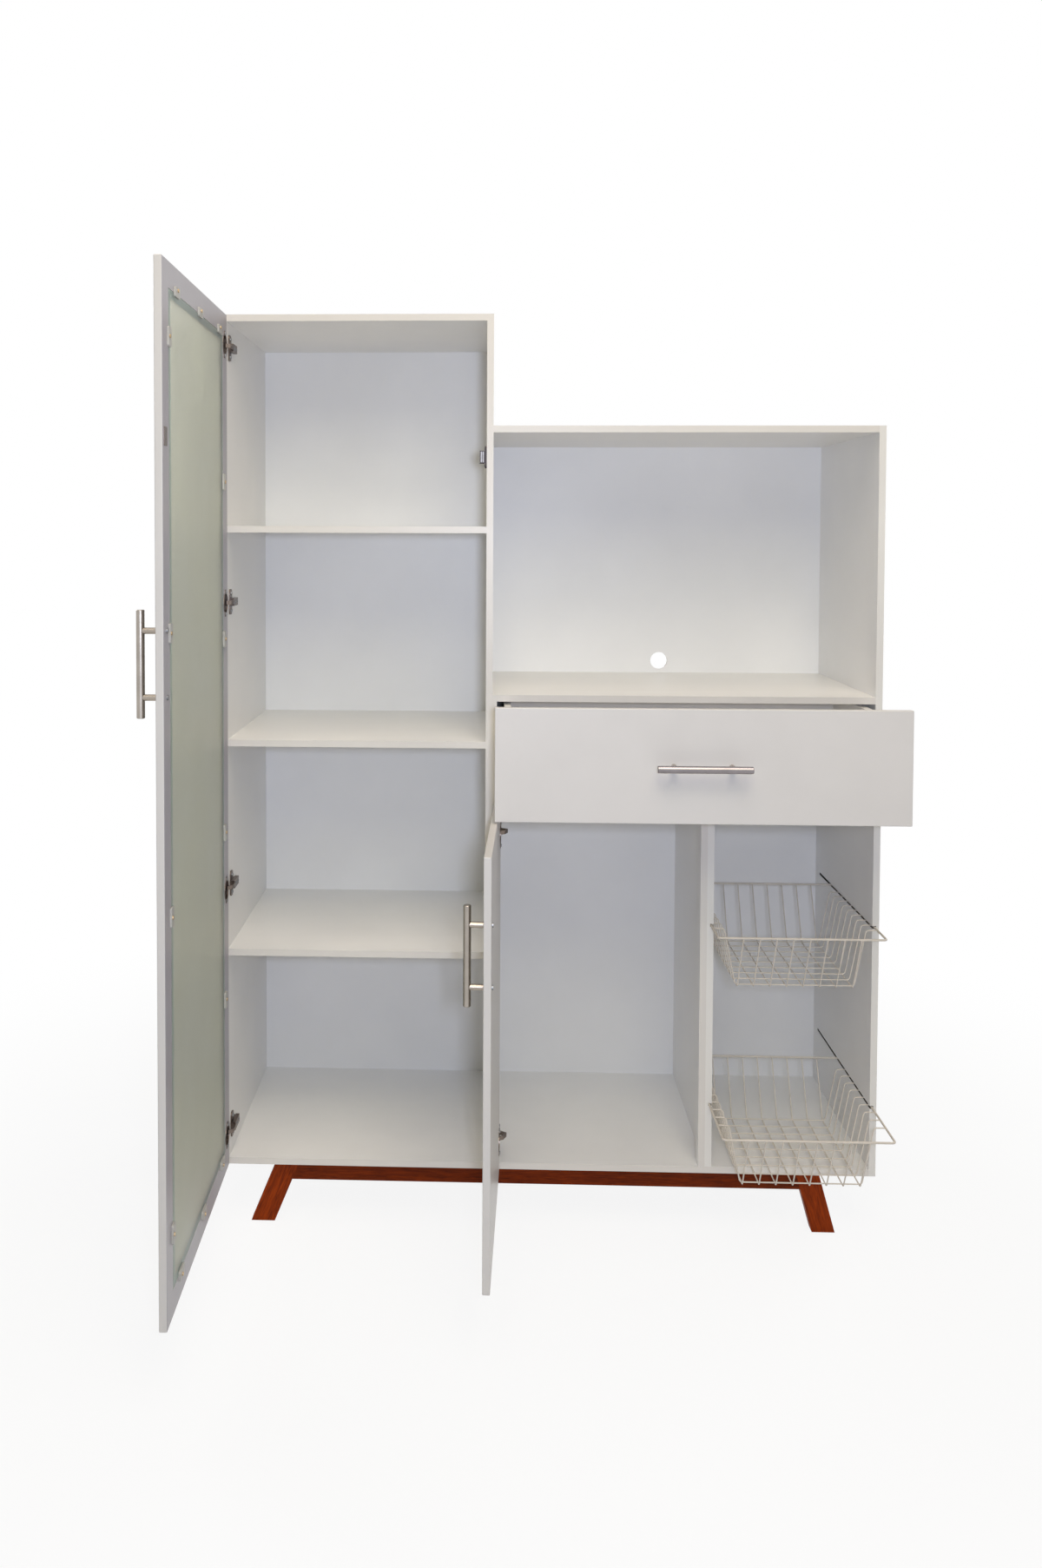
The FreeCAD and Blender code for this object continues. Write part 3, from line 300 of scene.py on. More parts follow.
def depth_in(tree, place, low, high):
    """How far a place lies inside a box, from its nearest side."""
    above = add_node(tree, "ShaderNodeVectorMath", {0: place, 1: low}, operation="SUBTRACT")
    below = add_node(tree, "ShaderNodeVectorMath", {0: high, 1: place}, operation="SUBTRACT")
    nearest = add_node(tree, "ShaderNodeVectorMath", {
        0: above.outputs["Vector"], 1: below.outputs["Vector"],
    }, operation="MINIMUM")
    split = add_node(tree, "ShaderNodeSeparateXYZ", {"Vector": nearest.outputs["Vector"]})
    pair = add_node(tree, "ShaderNodeMath", {
        0: split.outputs["X"], 1: split.outputs["Y"],
    }, operation="MINIMUM")
    return add_node(tree, "ShaderNodeMath", {
        0: pair.outputs["Value"], 1: split.outputs["Z"],
    }, operation="MINIMUM").outputs["Value"]


def dress(names, material):
    """Gives every named solid one material."""
    for name in names:
        mesh = NODES[name].data
        mesh.materials.clear()
        mesh.materials.append(material)


# Sizes and colours that a user would change


def colour_setting(name, description, hex_colour):
    """Colour property with its default from an sRGB hex value."""
    return bpy.props.FloatVectorProperty(
        name=name, description=description, default=linear(hex_colour), size=4, subtype="COLOR",
        min=0.0, max=1.0,
    )


def size_setting(name, description, millimetres):
    """Length property with its default in millimetres."""
    return bpy.props.FloatProperty(
        name=name, description=description, default=millimetres * MM, min=0.1 * MM, precision=4,
        subtype="DISTANCE", unit="LENGTH",
    )


def share_setting(name, description, default):
    """Factor property from nought to one."""
    return bpy.props.FloatProperty(
        name=name, description=description, default=default, min=0.0, max=1.0, subtype="FACTOR",
    )


class EnamelSettings(bpy.types.PropertyGroup):
    """Sprayed white enamel of the boards and fronts, and the raw back."""

    light: colour_setting("Light", "Full coat on the boards", "#F3F2F0")
    shade: colour_setting("Shade", "Thinner coat on the boards", "#ECEBE9")
    edge: colour_setting("Edge", "Front edges of the boards", "#DFDBD5")
    groove_edge: colour_setting("Groove edge", "Front edges of the grooved boards", "#E8E6E1")
    door_edge: colour_setting("Door edge", "Free edges of the doors", "#D6D3CF")
    # Door inside is drawn a darker grey on the faces of the tall door that look right, inside its frame.
    door_inside: colour_setting("Door inside", "Thin grey coat inside the tall door", "#ACA8AE")
    # The grooves' raw board is partly its own brown and partly painted shade, drawn darker than raw
    # board is.
    core: colour_setting("Core", "Raw board in the basket grooves", "#4A443F")
    front_light: colour_setting("Front light", "Full coat on the fronts", "#DCD9D6")
    front_shade: colour_setting("Front shade", "Thinner coat on the fronts", "#D5D2CF")
    fibre_light: colour_setting("Fibre light", "Pale fibres of the raw back", "#97714B")
    fibre_dark: colour_setting("Fibre dark", "Dark fibres of the raw back", "#6B4A2F")
    cloud: size_setting("Cloud", "Size of the clouds in the sprayed coat", 240.0)
    peel: size_setting("Peel", "Size of the orange peel", 7.0)
    fibre: size_setting("Fibre", "Size of the fibre clumps in the raw back", 9.0)
    roughness: share_setting("Roughness", "Satin sheen", 0.36)


class TimberSettings(bpy.types.PropertyGroup):
    """Stained hardwood of the stand."""

    dark: colour_setting("Dark", "Pores and late wood under the stain", "#662204")
    light: colour_setting("Light", "Early wood under the stain", "#9E3D0A")
    grain: size_setting("Grain", "Width of a grain line", 2.4)
    streak: size_setting("Streak", "Width of the darker streaks", 12.0)
    run: bpy.props.FloatProperty(
        name="Run", description="How much longer grain is than wide", default=11.0, min=1.0,
    )
    # Rail share is painted shade: the rails are drawn darker than the legs, as they lie in the shadow of
    # the base.
    painted_rail_shade: share_setting("Rail", "Share of the legs' colour on the rails, which took more stain", 0.6)


class MetalSettings(bpy.types.PropertyGroup):
    """Nickel, steel and zinc."""

    nickel: colour_setting("Nickel", "Satin nickel of the upright bars", "#ADA59C")
    # Level is darker than the upright bars' nickel: painted shade, for the dark room that the drawer bar
    # reflects below it.
    level: colour_setting("Level", "Satin nickel of the drawer bar", "#938D8F")
    post: colour_setting("Post", "Polished nickel of the posts", "#A89E93")
    hinge: colour_setting("Hinge", "Dark nickel on hinge steel", "#7E726A")
    zinc: colour_setting("Zinc", "Zinc-plated screws", "#9A9B9D")
    yellow: colour_setting("Yellow", "Yellow zinc of the clip screws", "#CDB48F")
    pole: colour_setting("Pole", "Bright steel poles of the catch", "#8C8988")
    line: size_setting("Line", "Spacing of the polishing lines", 1.0)
    smudge: size_setting("Smudge", "Size of the smudges", 22.0)


class PlasticSettings(bpy.types.PropertyGroup):
    """Plastic pieces, coated wire and glass."""

    wire: colour_setting("Wire", "Cream coat of the baskets", "#DDD5C9")
    clip: colour_setting("Clip", "Milky glass clips", "#D6D4CE")
    catch: colour_setting("Catch", "Purple-brown body of the catch", "#2C1E20")
    nylon: colour_setting("Nylon", "White runners and rollers", "#E4E2DC")
    glass: colour_setting("Glass", "Frosted pane", "#D4D5C6")
    # Border is painted shade: the pane is drawn darker and greener where the frame lies behind it.
    border: colour_setting("Border", "Pane where it lies on the frame", "#BFCEC5")
    overlap: size_setting("Overlap", "Width of the pane's border on the frame", 12.0)
    flow: size_setting("Flow", "Size of the flow marks in plastic", 30.0)
    etch: size_setting("Etch", "Size of the clouds in the etched pane", 180.0)
    frost: size_setting("Frost", "Size of the grain of the etched pane", 3.0)


class FixingSettings(bpy.types.PropertyGroup):
    """Screw heads, weld spots and pins."""

    plate_screw: size_setting("Plate screw", "Head radius of the hinge plates' screws", 3.6)
    arm_screw: size_setting("Arm screw", "Head radius of the hinge arms' screws", 3.0)
    cup_screw: size_setting("Cup screw", "Head radius of the hinge cups' screws", 3.2)
    catch_screw: size_setting("Catch screw", "Head radius of the catch's and the strike's screws", 2.6)
    weld: size_setting("Weld", "Radius of a weld spot, a little more than a basket wire's", 1.495)
    pin: size_setting("Pin", "Head radius of the back's pins", 2.0)
    pin_spacing: size_setting("Pin spacing", "Distance from one pin of the back to the next", 150.0)


class StageSettings(bpy.types.PropertyGroup):
    """Light, floor and camera."""

    lamps: share_setting("Lamps", "Share of the lamps' full power", 1.0)
    fill: bpy.props.FloatProperty(
        name="Fill", description="Strength of the surrounding light", default=0.05, min=0.0,
    )
    lens: bpy.props.FloatProperty(
        name="Lens", description="Focal length", default=28.685,
        subtype="DISTANCE_CAMERA", unit="CAMERA",
    )
    paper: colour_setting("Paper", "White of the floor", "#F4F4F3")
    shadow: share_setting("Shadow", "Share of lamplight and shadow in the floor's white", 0.13)


class CabinetSettings(bpy.types.PropertyGroup):
    """All settings of the cabinet."""

    enamel: bpy.props.PointerProperty(type=EnamelSettings)
    timber: bpy.props.PointerProperty(type=TimberSettings)
    metal: bpy.props.PointerProperty(type=MetalSettings)
    plastic: bpy.props.PointerProperty(type=PlasticSettings)
    fixing: bpy.props.PointerProperty(type=FixingSettings)
    stage: bpy.props.PointerProperty(type=StageSettings)


# Finishes


def satin_enamel(enamel, name, light, shade, faces=(), core_box=None):
    """Sprayed enamel: faint clouds of thicker coat and orange peel that breaks up the sheen.

    Faces along an axis can have a white of their own; grooves cut into a box show its raw board, drawn
    dark as painted shade in the groove.
    """
    material, tree, shader, place = start_material(name, IOR=1.5)
    cloud = add_node(tree, "ShaderNodeTexNoise", {
        "Vector": place, "Scale": 1 / enamel.cloud, "Detail": 4.0, "Roughness": 0.55,
    }).outputs["Fac"]
    layers = [(None, cloud, shade, light)]
    for axis, sign, own in faces:
        layers.append((faces_towards(tree, axis, sign), cloud, darker(own, COAT_SHADE), own))
    # Raw board in the grooves, darkened as painted shade where the groove lies in shadow.
    if core_box:
        inside = add_node(tree, "ShaderNodeMath", {
            0: depth_in(tree, place, *core_box), 1: GROOVE_START,
        }, operation="GREATER_THAN").outputs["Value"]
        layers.append((inside, cloud, darker(enamel.core, CORE_SHADE), enamel.core))
    # Real orange peel is about 2 mm, which is finer than a pixel, so it is drawn coarser.
    peel = add_node(tree, "ShaderNodeTexNoise", {
        "Vector": place, "Scale": 1 / enamel.peel, "Detail": 2.0,
    }).outputs["Fac"]
    sheen = (cloud, *(enamel.roughness + step for step in ENAMEL_STEPS))
    finish_surface(tree, shader, lay_colours(tree, layers), sheen, (peel, *PEEL_RELIEF))
    return material


def faced_hardboard(enamel):
    """Hardboard with an enamelled face; its edges and back are raw brown fibre, dull and mottled."""
    material, tree, shader, place = start_material("faced_hardboard", IOR=1.5)
    cloud = add_node(tree, "ShaderNodeTexNoise", {
        "Vector": place, "Scale": 1 / enamel.cloud, "Detail": 4.0,
    }).outputs["Fac"]
    # Fibre clumps are about 2 mm and are drawn coarser so that they show.
    fibre = add_node(tree, "ShaderNodeTexNoise", {
        "Vector": place, "Scale": 1 / enamel.fibre, "Detail": 6.0, "Roughness": 0.7,
    }).outputs["Fac"]
    faced = add_node(tree, "ShaderNodeMath", {
        0: faces_towards(tree, *FRONT), 1: faces_towards(tree, *UP),
    }, operation="MAXIMUM").outputs["Value"]
    colour = lay_colours(tree, [
        (None, fibre, enamel.fibre_dark, enamel.fibre_light),
        (faced, cloud, enamel.shade, enamel.light),
    ])
    peel = add_node(tree, "ShaderNodeTexNoise", {
        "Vector": place, "Scale": 1 / enamel.peel, "Detail": 2.0,
    }).outputs["Fac"]
    sheen = (faced, RAW_ROUGHNESS, enamel.roughness + max(ENAMEL_STEPS))
    finish_surface(tree, shader, colour, sheen, (peel, *BOARD_RELIEF))
    return material


def stained_hardwood(timber, name, lean, share):
    """Red-brown stained hardwood, rubbed to a low sheen: fine grain and darker streaks along the piece.

    Lean is how far the piece is turned from level; share is how much of the stain's colour is left, and
    below one that is painted shade.
    """
    material, tree, shader, place = start_material(name, IOR=1.5, Specular_IOR_Level=0.1)
    turned = add_node(tree, "ShaderNodeMapping", {"Vector": place, "Rotation": (0.0, lean, 0.0)})
    stretched = add_node(tree, "ShaderNodeMapping", {
        "Vector": turned.outputs["Vector"], "Scale": (1 / timber.run, 1.0, 1.0),
    }).outputs["Vector"]
    grain = add_node(tree, "ShaderNodeTexNoise", {
        "Vector": stretched, "Scale": 1 / timber.grain, "Detail": 5.0, "Roughness": 0.6,
        "Distortion": 0.4,
    }).outputs["Fac"]
    streak = add_node(tree, "ShaderNodeTexNoise", {
        "Vector": stretched, "Scale": 1 / timber.streak, "Detail": 4.0, "Roughness": 0.6,
    }).outputs["Fac"]
    figure = add_node(tree, "ShaderNodeMix", {
        MIX_SHARE: STREAK_SHARE, MIX_FIRST_VALUE: grain, MIX_SECOND_VALUE: streak,
    }).outputs[MIX_VALUE_OUT]
    stain = (None, figure, darker(timber.dark, share), darker(timber.light, share))
    colour = lay_colours(tree, [stain], FIGURE_SPAN)
    finish_surface(tree, shader, colour, (grain, *TIMBER_SHEEN), (grain, *GRAIN_RELIEF))
    return material


def brushed_metal(metal, name, colour, lines, roughness):
    """Plated metal: fine polishing lines along the smallest scale, faint smudges that dull it."""
    material, tree, shader, place = start_material(name, Metallic=1.0)
    stretched = add_node(tree, "ShaderNodeMapping", {"Vector": place, "Scale": lines}).outputs["Vector"]
    # Polishing lines are about 0.1 mm apart and are drawn near 1 mm so that they show.
    scratch = add_node(tree, "ShaderNodeTexNoise", {
        "Vector": stretched, "Scale": 1 / metal.line, "Detail": 3.0, "Roughness": 0.6,
    }).outputs["Fac"]
    smudge = add_node(tree, "ShaderNodeTexNoise", {
        "Vector": place, "Scale": 1 / metal.smudge, "Detail": 3.0,
    }).outputs["Fac"]
    plating = lay_colours(tree, [(None, smudge, darker(colour, SMUDGE_SHADE), colour)])
    sheen = (scratch, *(roughness + step for step in METAL_STEPS))
    finish_surface(tree, shader, plating, sheen, (scratch, *LINE_RELIEF))
    return material


def moulded_plastic(plastic, name, colour, ripple, roughness, clear):
    """Plastic, moulded or coated on metal: a soft even sheen, a slight ripple and faint flow marks."""
    material, tree, shader, place = start_material(name, IOR=1.49, Transmission_Weight=clear)
    flow = add_node(tree, "ShaderNodeTexNoise", {
        "Vector": place, "Scale": 1 / plastic.flow, "Detail": 3.0,
    }).outputs["Fac"]
    grain = add_node(tree, "ShaderNodeTexNoise", {
        "Vector": place, "Scale": 1 / ripple, "Detail": 2.0,
    }).outputs["Fac"]
    body = lay_colours(tree, [(None, flow, darker(colour, FLOW_SHADE), colour)])
    sheen = (flow, *(roughness + step for step in PLASTIC_STEPS))
    finish_surface(tree, shader, body, sheen, (grain, *RIPPLE_RELIEF))
    return material


def etched_glass(plastic):
    """Acid-etched float glass: pale, blurs what is behind it; darker sea green where it lies on the
    frame, which is painted shade.
    """
    material, tree, shader, place = start_material(
        "etched_float_glass", IOR=1.52, Transmission_Weight=0.7,
    )
    etch = add_node(tree, "ShaderNodeTexNoise", {
        "Vector": place, "Scale": 1 / plastic.etch, "Detail": 4.0,
    }).outputs["Fac"]
    pane = lay_colours(tree, [(None, etch, darker(plastic.glass, ETCH_SHADE), plastic.glass)])
    low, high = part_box("tall_door_glass")
    # The open pane is thin across X, so its two faces are kept out of the depth from its edges.
    across = Vector((1, 0, 0))
    open_share = add_node(tree, "ShaderNodeMapRange", {
        "Value": depth_in(tree, place, low - across, high + across),
        "From Min": plastic.overlap - BORDER_BLUR, "From Max": plastic.overlap + BORDER_BLUR,
    }, interpolation_type="SMOOTHSTEP").outputs["Result"]
    # Painted shade: where the pane lies on the frame it is drawn darker sea green, as no light comes
    # through from behind.
    colour = add_node(tree, "ShaderNodeMix", {
        MIX_SHARE: open_share, MIX_FIRST_COLOUR: plastic.border, MIX_SECOND_COLOUR: pane,
    }, data_type="RGBA").outputs[MIX_COLOUR_OUT]
    # Etching is finer than a tenth of a millimetre and is drawn at 3 mm so that it breaks up the sheen.
    frost = add_node(tree, "ShaderNodeTexNoise", {
        "Vector": place, "Scale": 1 / plastic.frost, "Detail": 2.0,
    }).outputs["Fac"]
    finish_surface(tree, shader, colour, (etch, *GLASS_SHEEN), (frost, *FROST_RELIEF))
    return material


# Shapes


def solids_of(name):
    """Corner points of each separate solid in a node, with the solids in the same order at each run."""
    shell = bmesh.new()
    shell.from_mesh(NODES[name].data)
    bmesh.ops.remove_doubles(shell, verts=shell.verts, dist=MERGE_DISTANCE)
    left = set(shell.verts)
    groups = []
    while left:
        queue = [left.pop()]
        group = []
        while queue:
            vert = queue.pop()
            group.append(vert.co.copy())
            for edge in vert.link_edges:
                other = edge.other_vert(vert)
                if other in left:
                    left.remove(other)
                    queue.append(other)
        groups.append(group)
    shell.free()
    return sorted(groups, key=lambda group: tuple(round(value, SORT_DIGITS) for value in middle(group)))


def middle(points):
    """Middle of the box round some points."""
    low = Vector([min(point[axis] for point in points) for axis in range(3)])
    high = Vector([max(point[axis] for point in points) for axis in range(3)])
    return (low + high) / 2


def make_object(shell, name, material):
    """Makes an object of a bmesh, at the origin."""
    mesh = bpy.data.meshes.new(name)
    shell.to_mesh(mesh)
    shell.free()
    mesh.materials.append(material)
    made = bpy.data.objects.new(name, mesh)
    bpy.context.scene.collection.objects.link(made)
    return made


def finish_piece(shell, name, body, material):
    """Makes a piece of a bmesh and lets it ride on a body."""
    bmesh.ops.recalc_face_normals(shell, faces=shell.faces)
    piece = make_object(shell, name, material)
    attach(piece, body)


def add_screw_head(shell, seat, out, radius, height):
    """Tapered screw head with a recess, standing on a seat and facing out."""
    turn = out.to_track_quat("Z", "Y").to_matrix().to_4x4()
    place = Matrix.Translation(seat) @ turn
    made = bmesh.ops.create_cone(
        shell, cap_ends=True, segments=HEAD_SIDES, radius1=radius, radius2=radius * HEAD_TOP,
        depth=height, matrix=place @ Matrix.Translation((0, 0, height / 2)),
    )
    top = max((face for vert in made["verts"] for face in vert.link_faces), key=lambda face: (
        (place.inverted() @ face.calc_center_median()).z, face.calc_area(),
    ))
    bmesh.ops.inset_individual(shell, faces=[top], thickness=radius * RECESS_RIM, depth=0)
    bmesh.ops.translate(shell, verts=top.verts, vec=out * (-height * RECESS_DEPTH))


def door_turn(joint):
    """Turn that brings a shut door to where it stands."""
    return Matrix.Rotation(math.radians(JOINTS[joint]["range_deg"][0]), 3, "Z")


# Operators


class CABINET_OT_enamel_boards(bpy.types.Operator):
    """Sprays the boards and the fronts with satin white enamel"""

    bl_idname = "cabinet.enamel_boards"
    bl_label = "Enamel boards"

    def execute(self, context):
        enamel = context.scene.cabinet.enamel
        board_coat = enamel.light, enamel.shade
        front_coat = enamel.front_light, enamel.front_shade
        # The doors stand open, so their inner faces look to the right and their free edges to the front.
        edge = (*FRONT, enamel.edge)
        groove_edge = (*FRONT, enamel.groove_edge)
        door_edge = (*FRONT, enamel.door_edge)
        inside = (*RIGHT, enamel.door_inside)
        dress(BOARDS, satin_enamel(enamel, "satin_enamel_boards", *board_coat, [edge]))
        for name in GROOVED_BOARDS:
            finish = "satin_enamel_" + name
            dress((name,), satin_enamel(enamel, finish, *board_coat, [groove_edge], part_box(name)))
        for name, finish, faces in (
            ("tall_door_frame", "satin_enamel_tall_door", [door_edge, inside]),
            ("small_door_panel", "satin_enamel_small_door", [door_edge]),
            ("drawer_front", "satin_enamel_drawer_front", []),
        ):
            dress((name,), satin_enamel(enamel, finish, *front_coat, faces))
        dress(THIN_PANELS, faced_hardboard(enamel))
        return {"FINISHED"}


class CABINET_OT_stain_stand(bpy.types.Operator):
    """Stains the rails and legs, with the grain along each piece, and paints shade on the rails"""

    bl_idname = "cabinet.stain_stand"
    bl_label = "Stain stand"

    def execute(self, context):
        timber = context.scene.cabinet.timber
        upright = math.pi / 2
        # The rails keep only a share of the stain's colour, as painted shade under the base.
        for names, finish, lean, share in (
            (RAILS, "stained_hardwood_rails_painted_shade", 0.0, timber.painted_rail_shade),
            (LEFT_LEGS, "stained_hardwood_left_legs", upright - LEFT_LEG_SPLAY, 1.0),
            (RIGHT_LEGS, "stained_hardwood_right_legs", upright + RIGHT_LEG_SPLAY, 1.0),
        ):
            dress(names, stained_hardwood(timber, finish, lean, share))
        return {"FINISHED"}


class CABINET_OT_plate_metals(bpy.types.Operator):
    """Finishes handles, hinges, screws and catch poles"""

    bl_idname = "cabinet.plate_metals"
    bl_label = "Plate metals"

    def execute(self, context):
        metal = context.scene.cabinet.metal
        for names, finish, colour, lines, roughness in (
            (UPRIGHT_BARS, "satin_nickel_upright", metal.nickel, LINES_UP, 0.30),
            # The drawer bar's darker nickel is painted shade, for a dark reflection in its lower half.
            (LEVEL_BARS, "satin_nickel_level_painted_shade", metal.level, LINES_ACROSS, 0.18),
            (POSTS, "polished_nickel", metal.post, NO_LINES, 0.30),
            (HINGE_STEEL, "nickel_plated_steel", metal.hinge, LINES_BACK, 0.32),
            (ZINC, "zinc_plated_steel", metal.zinc, NO_LINES, 0.38),
            (("glass_clip_screws",), "yellow_zinc_steel", metal.yellow, NO_LINES, 0.38),
            (("catch_poles",), "bright_steel", metal.pole, SHORT_LINES_UP, 0.45),
        ):
            dress(names, brushed_metal(metal, finish, colour, lines, roughness))
        return {"FINISHED"}


class CABINET_OT_finish_plastics(bpy.types.Operator):
    """Finishes glass, clips, catch, runners, rollers and the coated baskets"""

    bl_idname = "cabinet.finish_plastics"
    bl_label = "Finish plastics"

    def execute(self, context):
        plastic = context.scene.cabinet.plastic
        dress(("tall_door_glass",), etched_glass(plastic))
        for names, finish, colour, ripple, roughness, clear in (
            (("glass_clips",), "moulded_clip_plastic", plastic.clip, 2.0 * MM, 0.42, 0.3),
            (("catch_body",), "moulded_catch_plastic", plastic.catch, 1.5 * MM, 0.50, 0.0),
            (RUNNERS, "powder_coated_steel", plastic.nylon, 1.2 * MM, 0.48, 0.0),
            (ROLLERS, "turned_nylon", plastic.nylon, 2.5 * MM, 0.40, 0.0),
            (WIRES, "dip_coated_wire", plastic.wire, 6.0 * MM, 0.36, 0.0),
        ):
            dress(names, moulded_plastic(plastic, finish, colour, ripple, roughness, clear))
        return {"FINISHED"}


class CABINET_OT_fix_hinges(bpy.types.Operator):
    """Adds the screws of the hinge plates, arms and cups"""

    bl_idname = "cabinet.fix_hinges"
    bl_label = "Fix hinges"

    def execute(self, context):
        fixing = context.scene.cabinet.fixing
        zinc = bpy.data.materials["zinc_plated_steel"]
        across = Vector((1, 0, 0))
        shell = bmesh.new()
        # A plate is screwed to its board through the wings at its upper and lower end.
        for plate in solids_of("hinge_plates"):
            level = middle(plate).z
            half = max(point.z for point in plate) - level
            wing = middle([point for point in plate if abs(point.z - level) > WING_START * half])
            face = min(point.x for point in plate) + PLATE_THICKNESS
            for side in (-WING_SCREW, WING_SCREW):
                seat = Vector((face, wing.y, level + side * half))
                add_screw_head(shell, seat, across, fixing.plate_screw, PLATE_HEAD)
        for name in HINGE_ARMS:
            for arm in solids_of(name):
                rear = max(point.y for point in arm)
                roof = max(point.x for point in arm if point.y > rear - ARM_END)
                for setback in ARM_SETBACKS:
                    seat = Vector((roof, rear - setback, middle(arm).z))
                    add_screw_head(shell, seat, across, fixing.arm_screw, ARM_HEAD)
        finish_piece(shell, "hinge_plate_screws", "carcass", zinc)
        for cups, joint, body in (
            ("tall_hinge_cups", "tall_door_hinge", "tall_door"),
            ("small_hinge_cups", "small_door_hinge", "small_door"),
        ):
            shell = bmesh.new()
            turn = door_turn(joint)
            along = turn @ across
            out = turn @ Vector((0, 1, 0))
            for cup in solids_of(cups):
                low = min(point.z for point in cup)
                high = max(point.z for point in cup)
                face = max(point.dot(out) for point in cup)
                reach = [point.dot(along) for point in cup]
                centre = along * ((min(reach) + max(reach)) / 2) + out * face
                for level in (low + CUP_EAR, high - CUP_EAR):
                    seat = centre + Vector((0, 0, level))
                    add_screw_head(shell, seat, out, fixing.cup_screw, CUP_HEAD)
            finish_piece(shell, body + "_cup_screws", body, zinc)
        return {"FINISHED"}


class CABINET_OT_fix_catch(bpy.types.Operator):
    """Adds the two screws of the catch and the one of its strike plate"""

    bl_idname = "cabinet.fix_catch"
    bl_label = "Fix catch"

    def execute(self, context):
        radius = context.scene.cabinet.fixing.catch_screw
        zinc = bpy.data.materials["zinc_plated_steel"]
        low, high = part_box("catch_body")
        shell = bmesh.new()
        for level in (low.z + CATCH_EAR, high.z - CATCH_EAR):
            seat = Vector((high.x - CATCH_BASE, (low.y + high.y) / 2, level))
            add_screw_head(shell, seat, Vector((-1, 0, 0)), radius, CATCH_HEAD)
        finish_piece(shell, "catch_screws", "carcass", zinc)
        out = door_turn("tall_door_hinge") @ Vector((0, 1, 0))
        strike = solids_of("strike_plate")[0]
        centre = middle(strike)
        face = max(point.dot(out) for point in strike)
        shell = bmesh.new()
        # The head is sunk into the plate, so that the poles close on the plate itself.
        seat = centre + out * (face - centre.dot(out) - SUNK_HEAD)
        add_screw_head(shell, seat, out, radius, SUNK_HEAD + PROUD_HEAD)
        finish_piece(shell, "strike_screw", "tall_door", zinc)
        return {"FINISHED"}


class CABINET_OT_weld_baskets(bpy.types.Operator):
    """Adds the weld spots where the basket wires cross and meet the rim"""

    bl_idname = "cabinet.weld_baskets"
    bl_label = "Weld baskets"

    def execute(self, context):
        radius = context.scene.cabinet.fixing.weld
        coat = bpy.data.materials["dip_coated_wire"]
        for basket in BASKETS:
            lengthwise = solids_of(basket + "_long_wires")
            rim_low, rim_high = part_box(basket + "_rim")
            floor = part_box(basket + "_cross_wires")[0].z
            spots = []
            for run in solids_of(basket + "_cross_wires"):
                y = middle(run).y
                ends = [point.x for point in run]
                for x in (min(ends), max(ends)):
                    spots.append(Vector((x, y, (rim_low.z + rim_high.z) / 2)))
                for other in lengthwise:
                    spots.append(Vector((middle(other).x, y, floor)))
            for run in lengthwise:
                top = max(point.z for point in run)
                for y in (rim_low.y + RIM_RADIUS, rim_high.y - RIM_RADIUS):
                    spots.append(Vector((middle(run).x, y, top)))
            shell = bmesh.new()
            for spot in spots:
                place = Matrix.Translation(spot)
                bmesh.ops.create_icosphere(shell, subdivisions=1, radius=radius, matrix=place)
            for face in shell.faces:
                face.smooth = True
            finish_piece(shell, basket + "_welds", basket, coat)
        return {"FINISHED"}


class CABINET_OT_pin_back(bpy.types.Operator):
    """Adds the pins that hold the thin backs to the boards"""

    bl_idname = "cabinet.pin_back"
    bl_label = "Pin back"

    def execute(self, context):
        fixing = context.scene.cabinet.fixing
        zinc = bpy.data.materials["zinc_plated_steel"]
        shell = bmesh.new()
        for panel in PINNED_PANELS:
            low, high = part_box(panel)
            inset = Vector((PIN_INSET, 0, PIN_INSET))
            first = low + inset
            last = high - inset
            rows = max(2, round((high.z - low.z) / fixing.pin_spacing))
            columns = max(2, round((high.x - low.x) / fixing.pin_spacing))
            places = []
            for step in range(rows + 1):
                z = first.z + (last.z - first.z) * step / rows
                places += [(first.x, z), (last.x, z)]
            for step in range(1, columns):
                x = first.x + (last.x - first.x) * step / columns
                places += [(x, first.z), (x, last.z)]
            for x, z in places:
                add_screw_head(shell, Vector((x, high.y, z)), Vector((0, 1, 0)), fixing.pin, PIN_HEAD)
        finish_piece(shell, "back_pins", "carcass", zinc)
        return {"FINISHED"}


class CABINET_OT_set_stage(bpy.types.Operator):
    """Sets the floor, the light and the camera"""

    bl_idname = "cabinet.set_stage"
    bl_label = "Set stage"

    def execute(self, context):
        stage = context.scene.cabinet.stage
        lay_floor(stage)
        light_room(stage)
        aim_camera(stage)
        context.scene.view_settings.view_transform = "Standard"
        return {"FINISHED"}


# Studio


def shown_ray(tree):
    """One for rays from the camera, from gloss and through glass, and nought for the rest."""
    path = add_node(tree, "ShaderNodeLightPath")
    pair = add_node(tree, "ShaderNodeMath", {
        0: path.outputs["Is Camera Ray"], 1: path.outputs["Is Glossy Ray"],
    }, operation="MAXIMUM")
    return add_node(tree, "ShaderNodeMath", {
        0: pair.outputs["Value"], 1: path.outputs["Is Transmission Ray"],
    }, operation="MAXIMUM").outputs["Value"]


